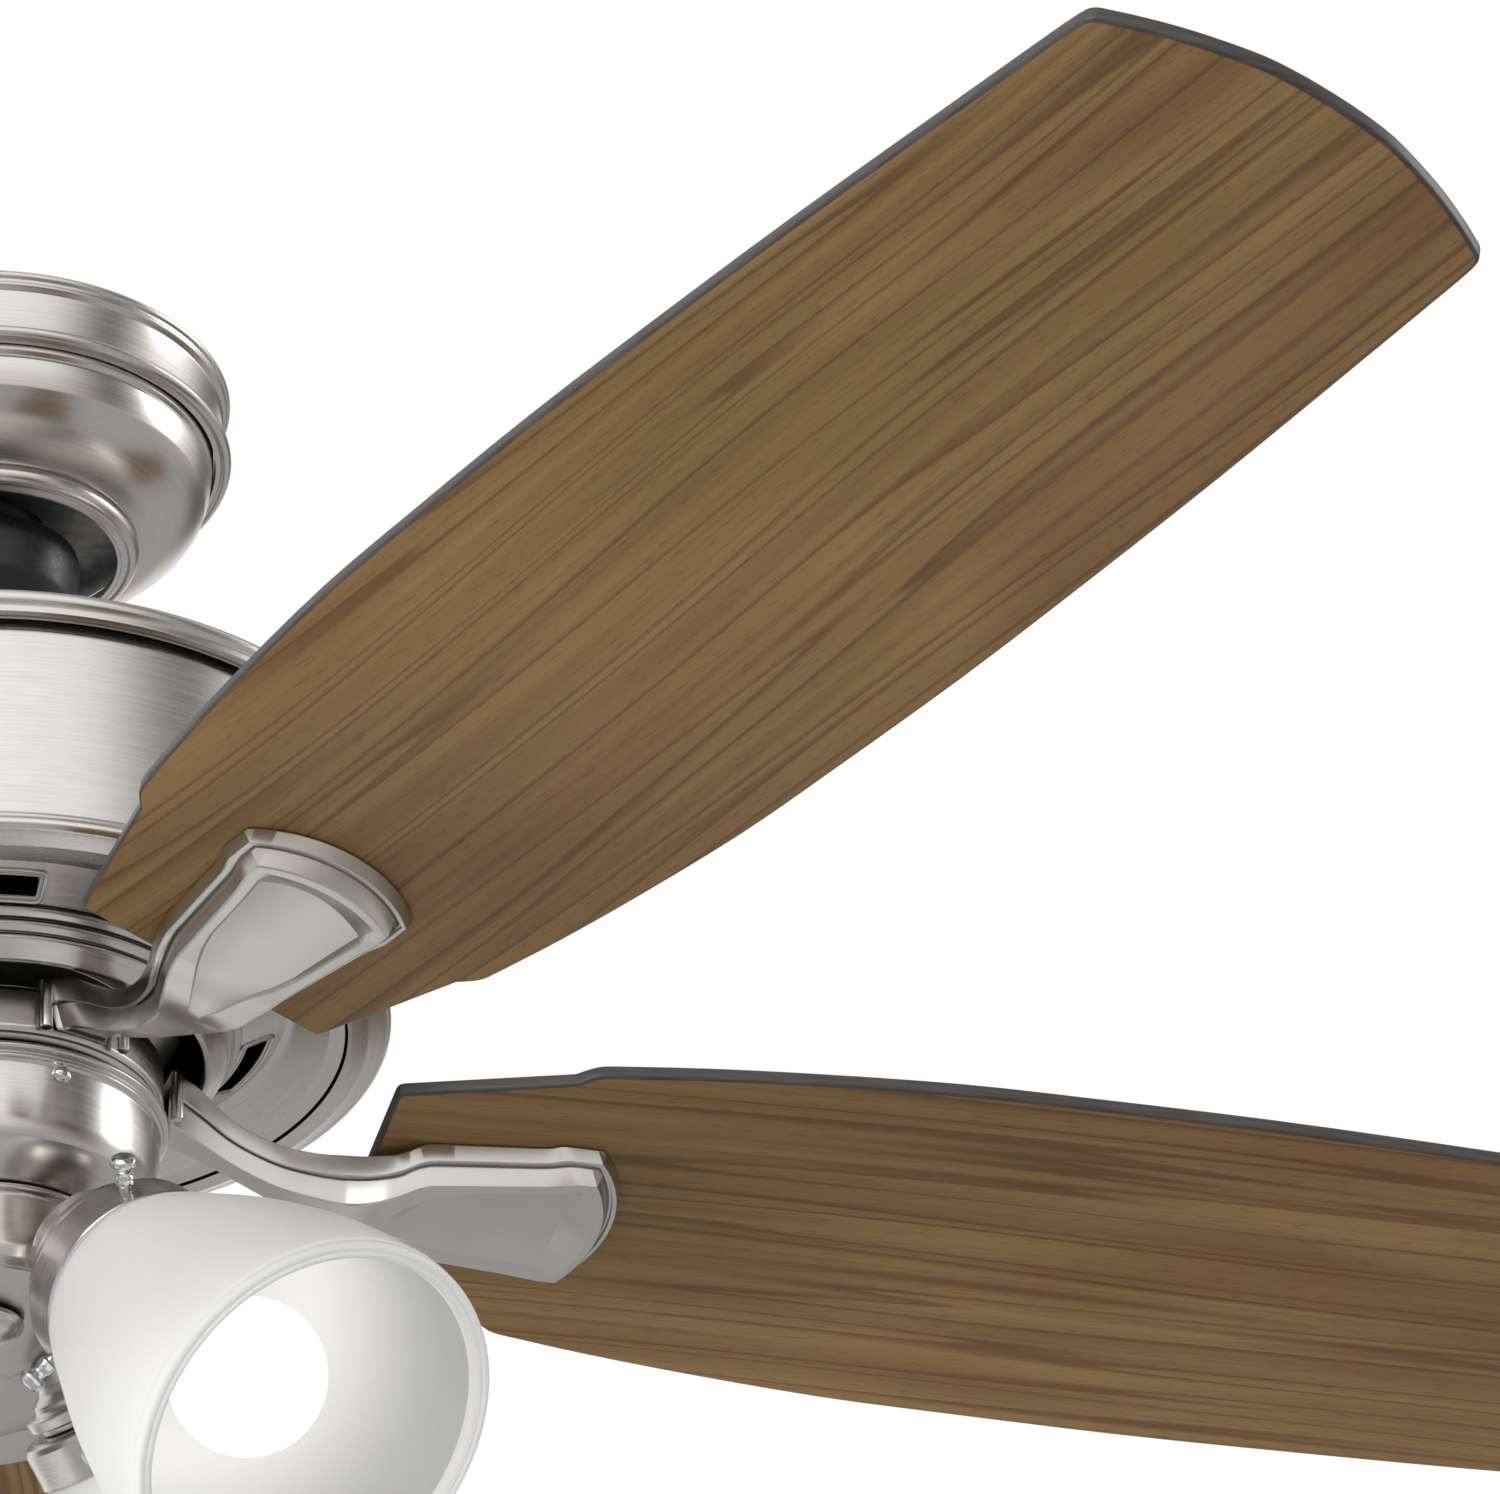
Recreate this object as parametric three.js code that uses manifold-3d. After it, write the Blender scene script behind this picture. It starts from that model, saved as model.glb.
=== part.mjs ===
// Ceiling fan, 52 inch sweep, five blades, with a four-lamp light kit.
// Millimetres, +Z up. The origin is on the fan's axis at the ceiling: the top face of the
// hanger bracket. Everything hangs below z = 0. +X is to the right and +Y to the back.
//
// Build order is the order of assembly: ceiling bracket and canopy, hanger ball and downrod,
// motor, rotor with its blades, switch housing, light kit.

import * as THREE from 'three';
import { mergeVertices } from 'three/addons/utils/BufferGeometryUtils.js';
import Module from 'manifold-3d';

const wasm = await Module();
wasm.setup();

// ---- driving dimensions -------------------------------------------------------------------

const GAP = 0.3;                    // clearance between pieces that touch
const ROUND = 32;                   // sides of the large turned pieces
const MID_ROUND = 20;               // sides of the middling ones
const SMALL_ROUND = 14;             // sides of pins, bearings and bulbs

const SWEEP_RADIUS = 660;           // axis to blade tip: 52 inch sweep
const BLADE_PLANE_Z = -270;         // underside of the blades, on their centre line
const BLADE_COUNT = 5;
const FIRST_BLADE_AZIMUTH = -57.7;  // degrees from +X
const BLADE_PITCH = -12.5;          // degrees about each blade's own length
const BLADE_THICKNESS = 5.5;

const LAMP_COUNT = 4;
const FIRST_LAMP_AZIMUTH = -44.6;   // degrees from +X
const LAMP_TILT = 46.2;             // degrees that a lamp points below the horizontal
const MOUTH_OFFSET = 137.4;         // fan axis to the centre of a shade's mouth
const MOUTH_Z = -421.5;             // height of that centre
const LAMP_LENGTH = 115;            // shade mouth to the top of its holder

const BALL_Z = -38;                 // centre of the hanger ball
const BALL_RADIUS = 22;
const ROD_RADIUS = 10.5;
const CANOPY_RADIUS = 79.8;
const HOUSING_RADIUS = 121.5;
const SHAFT_RADIUS = 8;
const HUB_RADIUS = 56.2;
const SWITCH_RADIUS = 54.5;
const FITTER_RADIUS = 40;
const HOLDER_RADIUS = 32.7;
const SHADE_RADIUS = 60.9;
const BULB_RADIUS = 24;

const degrees = THREE.MathUtils.degToRad;

// ---- materials ----------------------------------------------------------------------------

function finish(color, roughness, metalness) {
  return new THREE.MeshStandardMaterial({ color, roughness, metalness });
}

const brushedNickel = () => finish(0xa39e98, 0.35, 1);
const zincSteel = () => finish(0x8e9296, 0.5, 1);
const walnut = () => finish(0x7d6340, 0.55, 0);
const blackPlastic = () => finish(0x17171a, 0.4, 0);
const blackEnamel = () => finish(0x0b0b0c, 0.7, 0);
const copperWire = () => finish(0x8a4a24, 0.4, 1);
const frostedGlass = () => finish(0xf1f1ef, 0.5, 0);
const bulbGlass = () => finish(0xfff6e6, 0.4, 0);
const porcelain = () => finish(0xe8e4da, 0.4, 0);

// ---- shape helpers ------------------------------------------------------------------------

// A closed body with merged vertices, no slivers, and its faces pointing outwards.
function solid(geometry) {
  const bare = geometry.clone();
  bare.deleteAttribute('normal');
  bare.deleteAttribute('uv');
  const merged = mergeVertices(bare, 1e-4);
  const index = merged.index.array;
  const kept = [];
  for (let i = 0; i < index.length; i += 3) {
    const [a, b, c] = [index[i], index[i + 1], index[i + 2]];
    if (a !== b && b !== c && c !== a) kept.push(a, b, c);
  }
  if (volume(merged.attributes.position, kept) < 0) kept.reverse();
  merged.setIndex(kept);
  return merged;
}

function volume(position, index) {
  const [a, b, c] = [new THREE.Vector3(), new THREE.Vector3(), new THREE.Vector3()];
  let sum = 0;
  for (let i = 0; i < index.length; i += 3) {
    a.fromBufferAttribute(position, index[i]);
    b.fromBufferAttribute(position, index[i + 1]);
    c.fromBufferAttribute(position, index[i + 2]);
    sum += a.dot(b.cross(c)) / 6;
  }
  return sum;
}

// A turned piece: [radius, height] pairs round its section, spun about Z.
function turned(profile, sides = ROUND) {
  const points = profile.map(([r, z]) => new THREE.Vector2(r, z));
  points.push(points[0].clone());
  return solid(new THREE.LatheGeometry(points, sides).rotateX(Math.PI / 2));
}

function tube(outer, inner, bottom, top, sides = SMALL_ROUND) {
  return turned([[inner, bottom], [outer, bottom], [outer, top], [inner, top]], sides);
}

// A plain rod along Z from bottom to top.
function rod(radius, bottom, top, sides = SMALL_ROUND) {
  const length = top - bottom;
  const cylinder = new THREE.CylinderGeometry(radius, radius, length, sides);
  return solid(cylinder.rotateX(Math.PI / 2).translate(0, 0, bottom + length / 2));
}

// A rod along X, centred on the axis at height z.
function crossRod(radius, length, z, sides = 8) {
  return rod(radius, -length / 2, length / 2, sides).rotateY(Math.PI / 2).translate(0, 0, z);
}

function box(width, depth, height, x, y, z) {
  return solid(new THREE.BoxGeometry(width, depth, height).translate(x, y, z));
}

function toManifold(geometry) {
  return new wasm.Manifold(new wasm.Mesh({
    numProp: 3,
    vertProperties: new Float32Array(geometry.attributes.position.array),
    triVerts: new Uint32Array(geometry.index.array),
  }));
}

function fromManifold(manifold) {
  const mesh = manifold.getMesh();
  const geometry = new THREE.BufferGeometry();
  geometry.setAttribute('position', new THREE.BufferAttribute(mesh.vertProperties, 3));
  geometry.setIndex(new THREE.BufferAttribute(mesh.triVerts, 1));
  return geometry;
}

function cut(geometry, ...tools) {
  let body = toManifold(geometry);
  for (const tool of tools) body = body.subtract(toManifold(tool));
  return fromManifold(body);
}

function join(geometry, ...others) {
  let body = toManifold(geometry);
  for (const other of others) body = body.add(toManifold(other));
  return fromManifold(body);
}

// A body lofted through rings of points; every ring has the same number of points.
function loft(rings) {
  const count = rings[0].length;
  const positions = rings.flat(2);
  const index = [];
  for (let i = 0; i + 1 < rings.length; i += 1) {
    for (let j = 0; j < count; j += 1) {
      const a = i * count + j;
      const b = i * count + ((j + 1) % count);
      index.push(a, b, b + count, a, b + count, a + count);
    }
  }
  const flat = rings[0].map(([, y, z]) => new THREE.Vector2(y, z));
  const last = (rings.length - 1) * count;
  for (const [a, b, c] of THREE.ShapeUtils.triangulateShape(flat, [])) {
    index.push(a, c, b);
    index.push(last + a, last + b, last + c);
  }
  const geometry = new THREE.BufferGeometry();
  geometry.setAttribute('position', new THREE.Float32BufferAttribute(positions, 3));
  geometry.setIndex(index);
  return solid(geometry);
}

// ---- the object ---------------------------------------------------------------------------

const fan = new THREE.Group();

function piece(name, geometry, material, parent = fan) {
  const mesh = new THREE.Mesh(geometry, material);
  mesh.name = name;
  parent.add(mesh);
  return mesh;
}

// Ceiling bracket: a pressed steel stirrup. Its round bottom plate has a seat for the hanger
// ball and a side slot that lets the downrod in. It shows through the canopy's opening.
function hangerBracket() {
  const sheet = 2.4;
  const width = 44;
  const strapX = 39;
  const seatTop = -47.2;
  const seatRadius = 50;
  const slot = 2 * ROD_RADIUS + 2;
  const top = box(2 * strapX + sheet, width, sheet, 0, 0, -sheet / 2);
  const strapHeight = -seatTop;
  const left = box(sheet, width, strapHeight, -strapX, 0, -strapHeight / 2);
  const right = box(sheet, width, strapHeight, strapX, 0, -strapHeight / 2);
  const seat = rod(seatRadius, seatTop - sheet, seatTop, ROUND);
  const seatHole = rod(BALL_RADIUS - 1.2, seatTop - 5, seatTop + 5, 24);
  const sideSlot = box(slot, 1.2 * seatRadius, 10, 0, 0.6 * seatRadius, seatTop);
  const screwSlots = [-24, 24].map((x) => box(12, 5, 8, x, 0, -1));
  const bracket = join(top, left, right, seat);
  piece('hanger_bracket', cut(bracket, seatHole, sideSlot, ...screwSlots), zincSteel());
}

// Canopy: a trim ring against the ceiling and a spun bowl that tucks up inside it. Two short
// screws go through both.
const CANOPY_SCREW_Z = -16;

function canopy() {
  const ringProfile = [
    [74.4, 0], [78.5, 0], [CANOPY_RADIUS, -2.4], [77, -8], [76.8, -20.5], [79.2, -23],
    [77.6, -25.4], [74.4, -25.4],
  ];
  const bowlProfile = [
    [74, -10], [74, -28], [70.6, -39.5], [62.5, -49], [48.6, -55], [44.2, -61], [42.6, -60.4],
    [46.8, -53.4], [61, -47.6], [69, -38.6], [72.4, -28], [72.4, -10],
  ];
  const screwHoles = [90, 270].map((azimuth) => radialRod(2.2, 66, 90, azimuth, CANOPY_SCREW_Z));
  piece('canopy_ring', cut(turned(ringProfile), ...screwHoles), brushedNickel());
  piece('canopy_bowl', cut(turned(bowlProfile), ...screwHoles), brushedNickel());
  const names = ['canopy_screw_back', 'canopy_screw_front'];
  [90, 270].forEach((azimuth, i) => {
    const shank = radialRod(1.8, 68, 77.8, azimuth, CANOPY_SCREW_Z);
    const head = radialRod(3.4, 77.4, 79.4, azimuth, CANOPY_SCREW_Z);
    piece(names[i], join(shank, head), zincSteel());
  });
}

// A rod that points outwards from the fan's axis, between two radii.
function radialRod(radius, from, to, azimuth, z, sides = 10) {
  return rod(radius, from, to, sides)
    .rotateY(Math.PI / 2)
    .rotateZ(degrees(azimuth))
    .translate(0, 0, z);
}

// Hanger ball on the downrod's top end, held by a cross pin, and the coupling at the lower end.
const COUPLING_TOP = -116;
const ROD_BOTTOM = -146;
const CLEVIS_Z = -130;

function downrodGroup() {
  const bore = ROD_RADIUS + 0.4;
  const ballProfile = [];
  for (const angle of [-46, -24, 0, 24, 46]) {
    const a = degrees(angle);
    ballProfile.push([BALL_RADIUS * Math.cos(a), BALL_Z + BALL_RADIUS * Math.sin(a)]);
  }
  const [bottom, top] = [ballProfile[0][1], ballProfile[4][1]];
  ballProfile.push([bore, top], [bore, bottom]);
  const ball = turned(ballProfile, 20);
  const pinHole = crossRod(2.9, 60, BALL_Z);
  piece('hanger_ball', cut(ball, pinHole), blackPlastic());
  piece('ball_pin', crossRod(2.5, 36, BALL_Z), zincSteel());

  const clevisHole = crossRod(3.5, 60, CLEVIS_Z);
  const rodTube = tube(ROD_RADIUS, ROD_RADIUS - 2, ROD_BOTTOM, -24, 16);
  piece('downrod', cut(rodTube, pinHole, clevisHole), brushedNickel());

  const coverProfile = [
    [30.6, -60], [31, -66], [28.4, -78], [21, -88], [14, -93], [bore, -93], [bore, -90.4],
    [13.4, -90.4], [19.6, -86], [26.4, -77], [28.9, -66], [28.5, -60],
  ];
  piece('yoke_cover', turned(coverProfile, MID_ROUND), blackPlastic());

  const couplingProfile = [
    [bore, COUPLING_TOP], [17, COUPLING_TOP], [17, -142.6], [34, -142.6], [34, -146], [17, -147],
    [17, -158], [SHAFT_RADIUS + GAP, -158], [SHAFT_RADIUS + GAP, -150.4], [5, -150.4],
    [5, -146.4], [bore, -146.4],
  ];
  piece('motor_coupling', cut(turned(couplingProfile, 16), clevisHole), zincSteel());
  const pin = join(crossRod(3.1, 44, CLEVIS_Z), crossRod(5, 3, CLEVIS_Z).translate(21, 0, 0));
  piece('clevis_pin', pin, zincSteel());
}

// Motor: a hollow fixed shaft carries the stator; the bell of the rotor turns round it on two
// bearings. The decorative housing hangs from the coupling's flange.
const VENT_COUNT = 10;
const VENT_AZIMUTH = -89.5;

function motor() {
  piece('motor_shaft', tube(SHAFT_RADIUS, 5, -276, -150.8), zincSteel());
  const bore = SHAFT_RADIUS + GAP;
  const spool = [
    [bore, -218], [40, -218], [40, -212.3], [20, -212.3], [20, -185.7], [40, -185.7], [40, -180],
    [bore, -180],
  ];
  piece('stator_winding', turned(spool, 16), copperWire());
  piece('stator_core', tube(46, 20.4, -212, -186, 16), zincSteel());
  piece('upper_bearing', tube(15.6, bore, -176, -169), zincSteel());
  piece('lower_bearing', tube(15.6, bore, -262, -253), zincSteel());

  const coverProfile = [
    [17.4, -139.6], [108, -144], [126, -149], [127, -151.4], [123.4, -157], [121.6, -157],
    [121.6, -151], [107, -146.4], [36, -142.3], [17.4, -142.3],
  ];
  piece('housing_cover', turned(coverProfile), brushedNickel());
  const barrelProfile = [
    [118.4, -151.6], [119.8, -151.6], [119.8, -159.4], [HOUSING_RADIUS, -160],
    [HOUSING_RADIUS, -226.6], [127, -230.6], [119.6, -235.6], [113, -235.6], [113, -234],
    [119.9, -228], [119.9, -161.2], [118.4, -160.4],
  ];
  piece('housing_barrel', turned(barrelProfile), brushedNickel());
  const ventProfile = [
    [112.6, -233.2], [112.6, -234.8], [107.6, -233.4], [97.6, -226.2], [94.6, -225.4],
    [80, -232.6], [77.6, -237], [70, -246.4], [68.4, -246.4], [68.4, -244.4], [76, -236],
    [79, -231.2], [94.6, -223.6], [98.6, -224.6], [108.2, -231.8],
  ];
  const slots = [];
  for (let i = 0; i < VENT_COUNT; i += 1) {
    slots.push(ventSlot(VENT_AZIMUTH + (i * 360) / VENT_COUNT));
  }
  piece('vent_ring', cut(turned(ventProfile), ...slots), brushedNickel());
}

// The tool that cuts one curved vent slot.
function ventSlot(azimuth) {
  const [inner, outer, half] = [83, 89.5, degrees(10.7)];
  const outline = new THREE.Shape();
  outline.absarc(0, 0, outer, -half, half, false);
  outline.absarc(0, 0, inner, half, -half, true);
  const slab = new THREE.ExtrudeGeometry(outline, { depth: 16, bevelEnabled: false, curveSegments: 3 });
  return solid(slab).rotateZ(degrees(azimuth)).translate(0, 0, -238);
}

// Rotor: the bell, the flywheel hub below it, and a blade iron and blade at each station.
function rotor() {
  const bellProfile = [
    [15.9, -176], [58, -176], [60, -178], [60, -228], [62.4, -228], [62.4, -171], [60, -168.6],
    [15.9, -168.6],
  ];
  piece('rotor_bell', turned(bellProfile, MID_ROUND), blackEnamel());
  const hubProfile = [
    [62, -228.4], [62, -232], [50, -234], [50, -246.4], [HUB_RADIUS, -247], [HUB_RADIUS, -262],
    [53, -264.6], [15.9, -264.6], [15.9, -250.6], [44, -236], [44, -228.4],
  ];
  piece('flywheel_hub', turned(hubProfile, MID_ROUND), brushedNickel());
  for (let i = 0; i < BLADE_COUNT; i += 1) {
    const azimuth = FIRST_BLADE_AZIMUTH + (i * 360) / BLADE_COUNT;
    const station = new THREE.Group();
    station.position.z = BLADE_PLANE_Z;
    station.rotation.z = degrees(azimuth);
    fan.add(station);
    piece(`blade_iron_${i + 1}`, bladeIron(), brushedNickel(), station);
    const pitched = new THREE.Group();
    pitched.rotation.x = degrees(BLADE_PITCH);
    station.add(pitched);
    piece(`blade_${i + 1}`, blade(), walnut(), pitched);
  }
}

// Blade iron: a cast arm that leaves the hub as a narrow upright ribbon with a step along its
// side, dips, and spreads into a plate under the blade's root. Each station gives the distance
// from the axis, half width, and the heights of the top, the step and the underside.
const IRON_STATIONS = [
  [56.8, 16, 24, 16.5, 9], [62, 12, 24, 16, 8], [69, 8.8, 21, 12.5, 5], [79, 6.6, 13, 5.5, 0],
  [92, 7.4, 6.9, -0.5, -6.5], [103, 10.4, 2.8, -4.8, -11], [112, 13.2, 0, -7.8, -14.4],
  [120, 17, -2.7, -10.4, -16.6], [128, 20.6, -4.2, -11, -16.4], [134, 22.4, -4, -10, -15],
];
const PLATE_START = 136;
const PLATE_CORNER = 191.5;
const PLATE_END = 204.3;
const PLATE_ARC = 41.8;             // radius of the plate's round outer end

function bladeIron() {
  const stations = [...IRON_STATIONS];
  for (const u of [PLATE_START, 164, PLATE_CORNER]) {
    const t = (u - PLATE_START) / (PLATE_CORNER - PLATE_START);
    stations.push([u, 23.3 + 6.6 * t, -GAP, -7.6, -12.4 + 2 * t]);
  }
  for (const u of [197, 202, PLATE_END - 0.2]) {
    const half = Math.sqrt(PLATE_ARC ** 2 - (u - (PLATE_END - PLATE_ARC)) ** 2);
    stations.push([u, half, -GAP, -7.6, -10.4]);
  }
  return loft(stations.map(([u, half, top, step, under]) => {
    const twist = degrees(BLADE_PITCH) * THREE.MathUtils.smoothstep(u, 72, 132);
    const inset = Math.min(2.6, half / 2);
    const section = [
      [-half, top], [-half, step], [-half + inset, step - 0.8], [-half + inset, under],
      [half - inset, under], [half - inset, step - 0.8], [half, step], [half, top],
    ];
    return section.map(([v, h]) => [
      u,
      v * Math.cos(twist) - h * Math.sin(twist),
      v * Math.sin(twist) + h * Math.cos(twist),
    ]);
  }));
}

// Blade: plywood with a straight root, a small step where it widens, long bowed edges, and a
// bowed tip between two small ears. The outline is given on one side and mirrored.
const BLADE_ROOT = 121.5;
const BLADE_EDGE = [
  [BLADE_ROOT + 2, 43.6], [174.9, 57.6], [182.3, 62.5], [216, 67.7], [251, 71.5], [296, 75],
  [340, 76], [400, 76.5], [460, 75.3], [520, 73.4], [580, 70.5], [636, 67.5], [641.6, 65.6],
  [644, 61.8], [648, 51.5], [653, 42.1], [656.3, 31.2], [658.7, 19.7],
];

function blade() {
  const near = BLADE_EDGE.map(([u, v]) => new THREE.Vector2(u, -v));
  const far = BLADE_EDGE.map(([u, v]) => new THREE.Vector2(u, v)).reverse();
  const root = [new THREE.Vector2(BLADE_ROOT, 41.6), new THREE.Vector2(BLADE_ROOT, -41.6)];
  const outline = new THREE.Shape([...near, new THREE.Vector2(SWEEP_RADIUS, 0), ...far, ...root]);
  const board = new THREE.ExtrudeGeometry(outline, { depth: BLADE_THICKNESS, bevelEnabled: false });
  return solid(board);
}

// Switch housing: a drawn cup on a plate that is screwed to the shaft's lower end. It holds the
// speed switch, the capacitor and the reversing switch, whose slider comes out of the wall.
const SLIDER_AZIMUTH = 135;
const SLIDER_Z = -286;

function switchGroup() {
  piece('switch_plate', tube(52.4, SHAFT_RADIUS + GAP, -272, -269.6, MID_ROUND), zincSteel());
  const cupProfile = [
    [53.2, -266.6], [57, -266.6], [58, -268], [SWITCH_RADIUS + 0.8, -271.4], [SWITCH_RADIUS, -290],
    [52, -298.4], [41, -306.4], [34, -306.4], [34, -304.8], [40.4, -304.8], [50.6, -297.2],
    [53.2, -290],
  ];
  const sliderSlot = box(10, 5, 14, SWITCH_RADIUS, 0, 0)
    .rotateZ(degrees(SLIDER_AZIMUTH))
    .translate(0, 0, SLIDER_Z + 3);
  const outletHole = radialRod(3.3, 48, 60, 100, -280);
  piece('switch_housing', cut(turned(cupProfile), sliderSlot, outletHole), brushedNickel());
  const outlet = cut(
    join(radialRod(3, 49, 57.4, 100, -280), radialRod(4.6, 55.4, 57.4, 100, -280)),
    radialRod(1.6, 45, 60, 100, -280, 8),
  );
  piece('chain_outlet', outlet, brushedNickel());
  piece('speed_switch', rod(13, -296, -275, 16).translate(20, -22, 0), blackPlastic());
  piece('capacitor', box(17, 42, 20, -30, -8, -286), blackPlastic());
  const switchBody = box(8, 16, 22, 43, 0, SLIDER_Z + 3).rotateZ(degrees(SLIDER_AZIMUTH));
  piece('reverse_switch', switchBody, blackPlastic());
  const stem = box(10, 3, 3.6, 52.6, 0, SLIDER_Z);
  const knob = box(3, 4.4, 5, 57.6, 0, SLIDER_Z);
  const slider = join(stem, knob).rotateZ(degrees(SLIDER_AZIMUTH));
  piece('reverse_slider', slider, blackPlastic());
}

// Light kit: the fitter is a short drum with a round mouth for each lamp arm, closed below by a
// finial.
const ARM_RADIUS = 19;
const ARM_END = LAMP_LENGTH + 21;   // the arm's end inside the fitter, from the shade's mouth

// The frame of lamp i: the origin is the centre of its shade's mouth, and +Z points back up the
// lamp to the fitter.
function lampFrame(i) {
  const azimuth = degrees(FIRST_LAMP_AZIMUTH + (i * 360) / LAMP_COUNT);
  const frame = new THREE.Group();
  frame.position.set(MOUTH_OFFSET * Math.cos(azimuth), MOUTH_OFFSET * Math.sin(azimuth), MOUTH_Z);
  frame.rotation.set(0, degrees(LAMP_TILT - 90), azimuth, 'ZYX');
  frame.updateMatrix();
  return frame;
}

function lightKit() {
  const fitterProfile = [
    [8, -307.2], [42, -307.2], [42, -309], [FITTER_RADIUS, -311], [FITTER_RADIUS, -330.6],
    [37, -333.4], [8, -333.4], [8, -331.8], [36.2, -331.8], [38.4, -329.6], [38.4, -308.8],
    [8, -308.8],
  ];
  const armHoles = [];
  for (let i = 0; i < LAMP_COUNT; i += 1) {
    armHoles.push(rod(ARM_RADIUS + 0.6, 100, ARM_END + 0.6, 20).applyMatrix4(lampFrame(i).matrix));
  }
  piece('light_fitter', cut(turned(fitterProfile), ...armHoles), brushedNickel());
  const finialProfile = [
    [3, -327], [6.6, -327], [6.6, -333.8], [13, -333.8], [13, -336], [6, -339.4], [3, -339.4],
  ];
  piece('finial', turned(finialProfile, 16), brushedNickel());
  for (let i = 0; i < LAMP_COUNT; i += 1) lamp(i);
}

// One lamp: arm, holder cup, socket, bulb and frosted glass shade. Heights are distances from
// the shade's mouth.
function lamp(i) {
  const frame = lampFrame(i);
  fan.add(frame);
  const top = LAMP_LENGTH;
  const armProfile = [
    [14.6, top + GAP], [27.8, top + GAP], [27.8, top + 7], [ARM_RADIUS, top + 14],
    [ARM_RADIUS, ARM_END], [6, ARM_END], [6, top + 14.6], [14.6, top + 14.6],
  ];
  piece(`lamp_arm_${i + 1}`, turned(armProfile, 16), brushedNickel(), frame);
  const holderProfile = [
    [14.6, top], [31.4, top], [HOLDER_RADIUS, top - 1.4], [HOLDER_RADIUS, top - 14.8],
    [31.6, top - 14.8], [31.6, top - 1.6], [14.6, top - 1.6],
  ];
  piece(`shade_holder_${i + 1}`, turned(holderProfile, MID_ROUND), brushedNickel(), frame);
  const socketProfile = [
    [12.7, 81], [14.2, 81], [14.2, top + 14], [3, top + 14], [3, top + 4], [12.7, top + 4],
  ];
  piece(`lamp_socket_${i + 1}`, turned(socketProfile, SMALL_ROUND), porcelain(), frame);
  const bulbProfile = [
    [0, 16], [13, 19.8], [21, 28], [BULB_RADIUS, 40], [22, 50], [12.3, 74], [12.3, top + 1],
    [0, top + 1],
  ];
  const bulb = new THREE.LatheGeometry(bulbProfile.map(([r, s]) => new THREE.Vector2(r, s)), SMALL_ROUND);
  piece(`bulb_${i + 1}`, solid(bulb.rotateX(Math.PI / 2)), bulbGlass(), frame);
  const shadeProfile = [
    [55, 0], [SHADE_RADIUS, 0], [SHADE_RADIUS - 0.2, 9], [57.4, 30], [52.4, 50], [45.6, 70],
    [36.4, 95], [30.6, 99.6], [30.6, 112], [27.6, 112], [27.6, 98.6], [33, 93], [42.2, 69],
    [49, 49], [54, 29.4], [55, 6],
  ];
  piece(`shade_${i + 1}`, turned(shadeProfile, MID_ROUND), frostedGlass(), frame);
}

hangerBracket();
canopy();
downrodGroup();
motor();
rotor();
switchGroup();
lightKit();

export default fan;
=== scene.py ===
# Ceiling fan, 52 inch sweep: five walnut-faced blades on cast irons under a brushed nickel motor
# housing, with a four-lamp light kit. The sections follow the order in which it is put together.
import math

import bpy
import numpy as np
from mathutils import Matrix, Vector


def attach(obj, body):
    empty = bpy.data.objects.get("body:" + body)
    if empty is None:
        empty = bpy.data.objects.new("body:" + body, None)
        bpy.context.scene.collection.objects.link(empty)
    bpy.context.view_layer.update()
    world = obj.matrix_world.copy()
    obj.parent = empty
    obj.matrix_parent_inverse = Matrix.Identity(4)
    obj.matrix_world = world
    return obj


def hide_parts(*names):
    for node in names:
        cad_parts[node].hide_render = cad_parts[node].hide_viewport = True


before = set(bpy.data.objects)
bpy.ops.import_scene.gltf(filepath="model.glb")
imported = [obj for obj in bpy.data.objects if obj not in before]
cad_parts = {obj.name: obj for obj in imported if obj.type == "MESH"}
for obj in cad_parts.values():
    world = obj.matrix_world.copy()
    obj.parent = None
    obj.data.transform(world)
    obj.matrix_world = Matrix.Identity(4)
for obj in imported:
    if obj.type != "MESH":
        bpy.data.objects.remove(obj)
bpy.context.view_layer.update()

# ---- Ceiling bracket, canopy screws and inner steel parts -------------------------------------
# Pressed and turned steel with a thin zinc plating, dull and slightly bluish. The bracket is
# screwed to the outlet box, and the shaft, bearings and pins are fitted on the bench.
MM = 0.001


def colour(code):
    """An sRGB hex code as the linear colour that a shader takes."""
    parts = [int(code[i:i + 2], 16) / 255 for i in (1, 3, 5)]
    return [v / 12.92 if v <= 0.04045 else ((v + 0.055) / 1.055) ** 2.4 for v in parts] + [1]


def add(tree, kind, settings=None, inputs=None, stops=()):
    """Adds one shader node. An input is given a value, or the output that feeds it. Stops are the
    places and hex colours of a colour ramp."""
    node = tree.nodes.new(kind)
    for name, value in (settings or {}).items():
        setattr(node, name, value)
    for socket, value in (inputs or {}).items():
        if isinstance(value, bpy.types.NodeSocket):
            tree.links.new(value, node.inputs[socket])
        else:
            node.inputs[socket].default_value = value
    if stops:
        elements = node.color_ramp.elements
        while len(elements) < len(stops):
            elements.new(0.5)
        for element, (place, code) in zip(elements, stops):
            element.position = place
            element.color = colour(code)
    return node


def start_material(name, base, roughness, metallic=0.0):
    """A material with its shader set to one colour, ready for its own pattern."""
    material = bpy.data.materials.new(name)
    material.use_nodes = True
    tree = material.node_tree
    shader = tree.nodes["Principled BSDF"]
    shader.inputs["Base Color"].default_value = colour(base)
    shader.inputs["Roughness"].default_value = roughness
    shader.inputs["Metallic"].default_value = metallic
    return material, tree, shader


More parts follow.
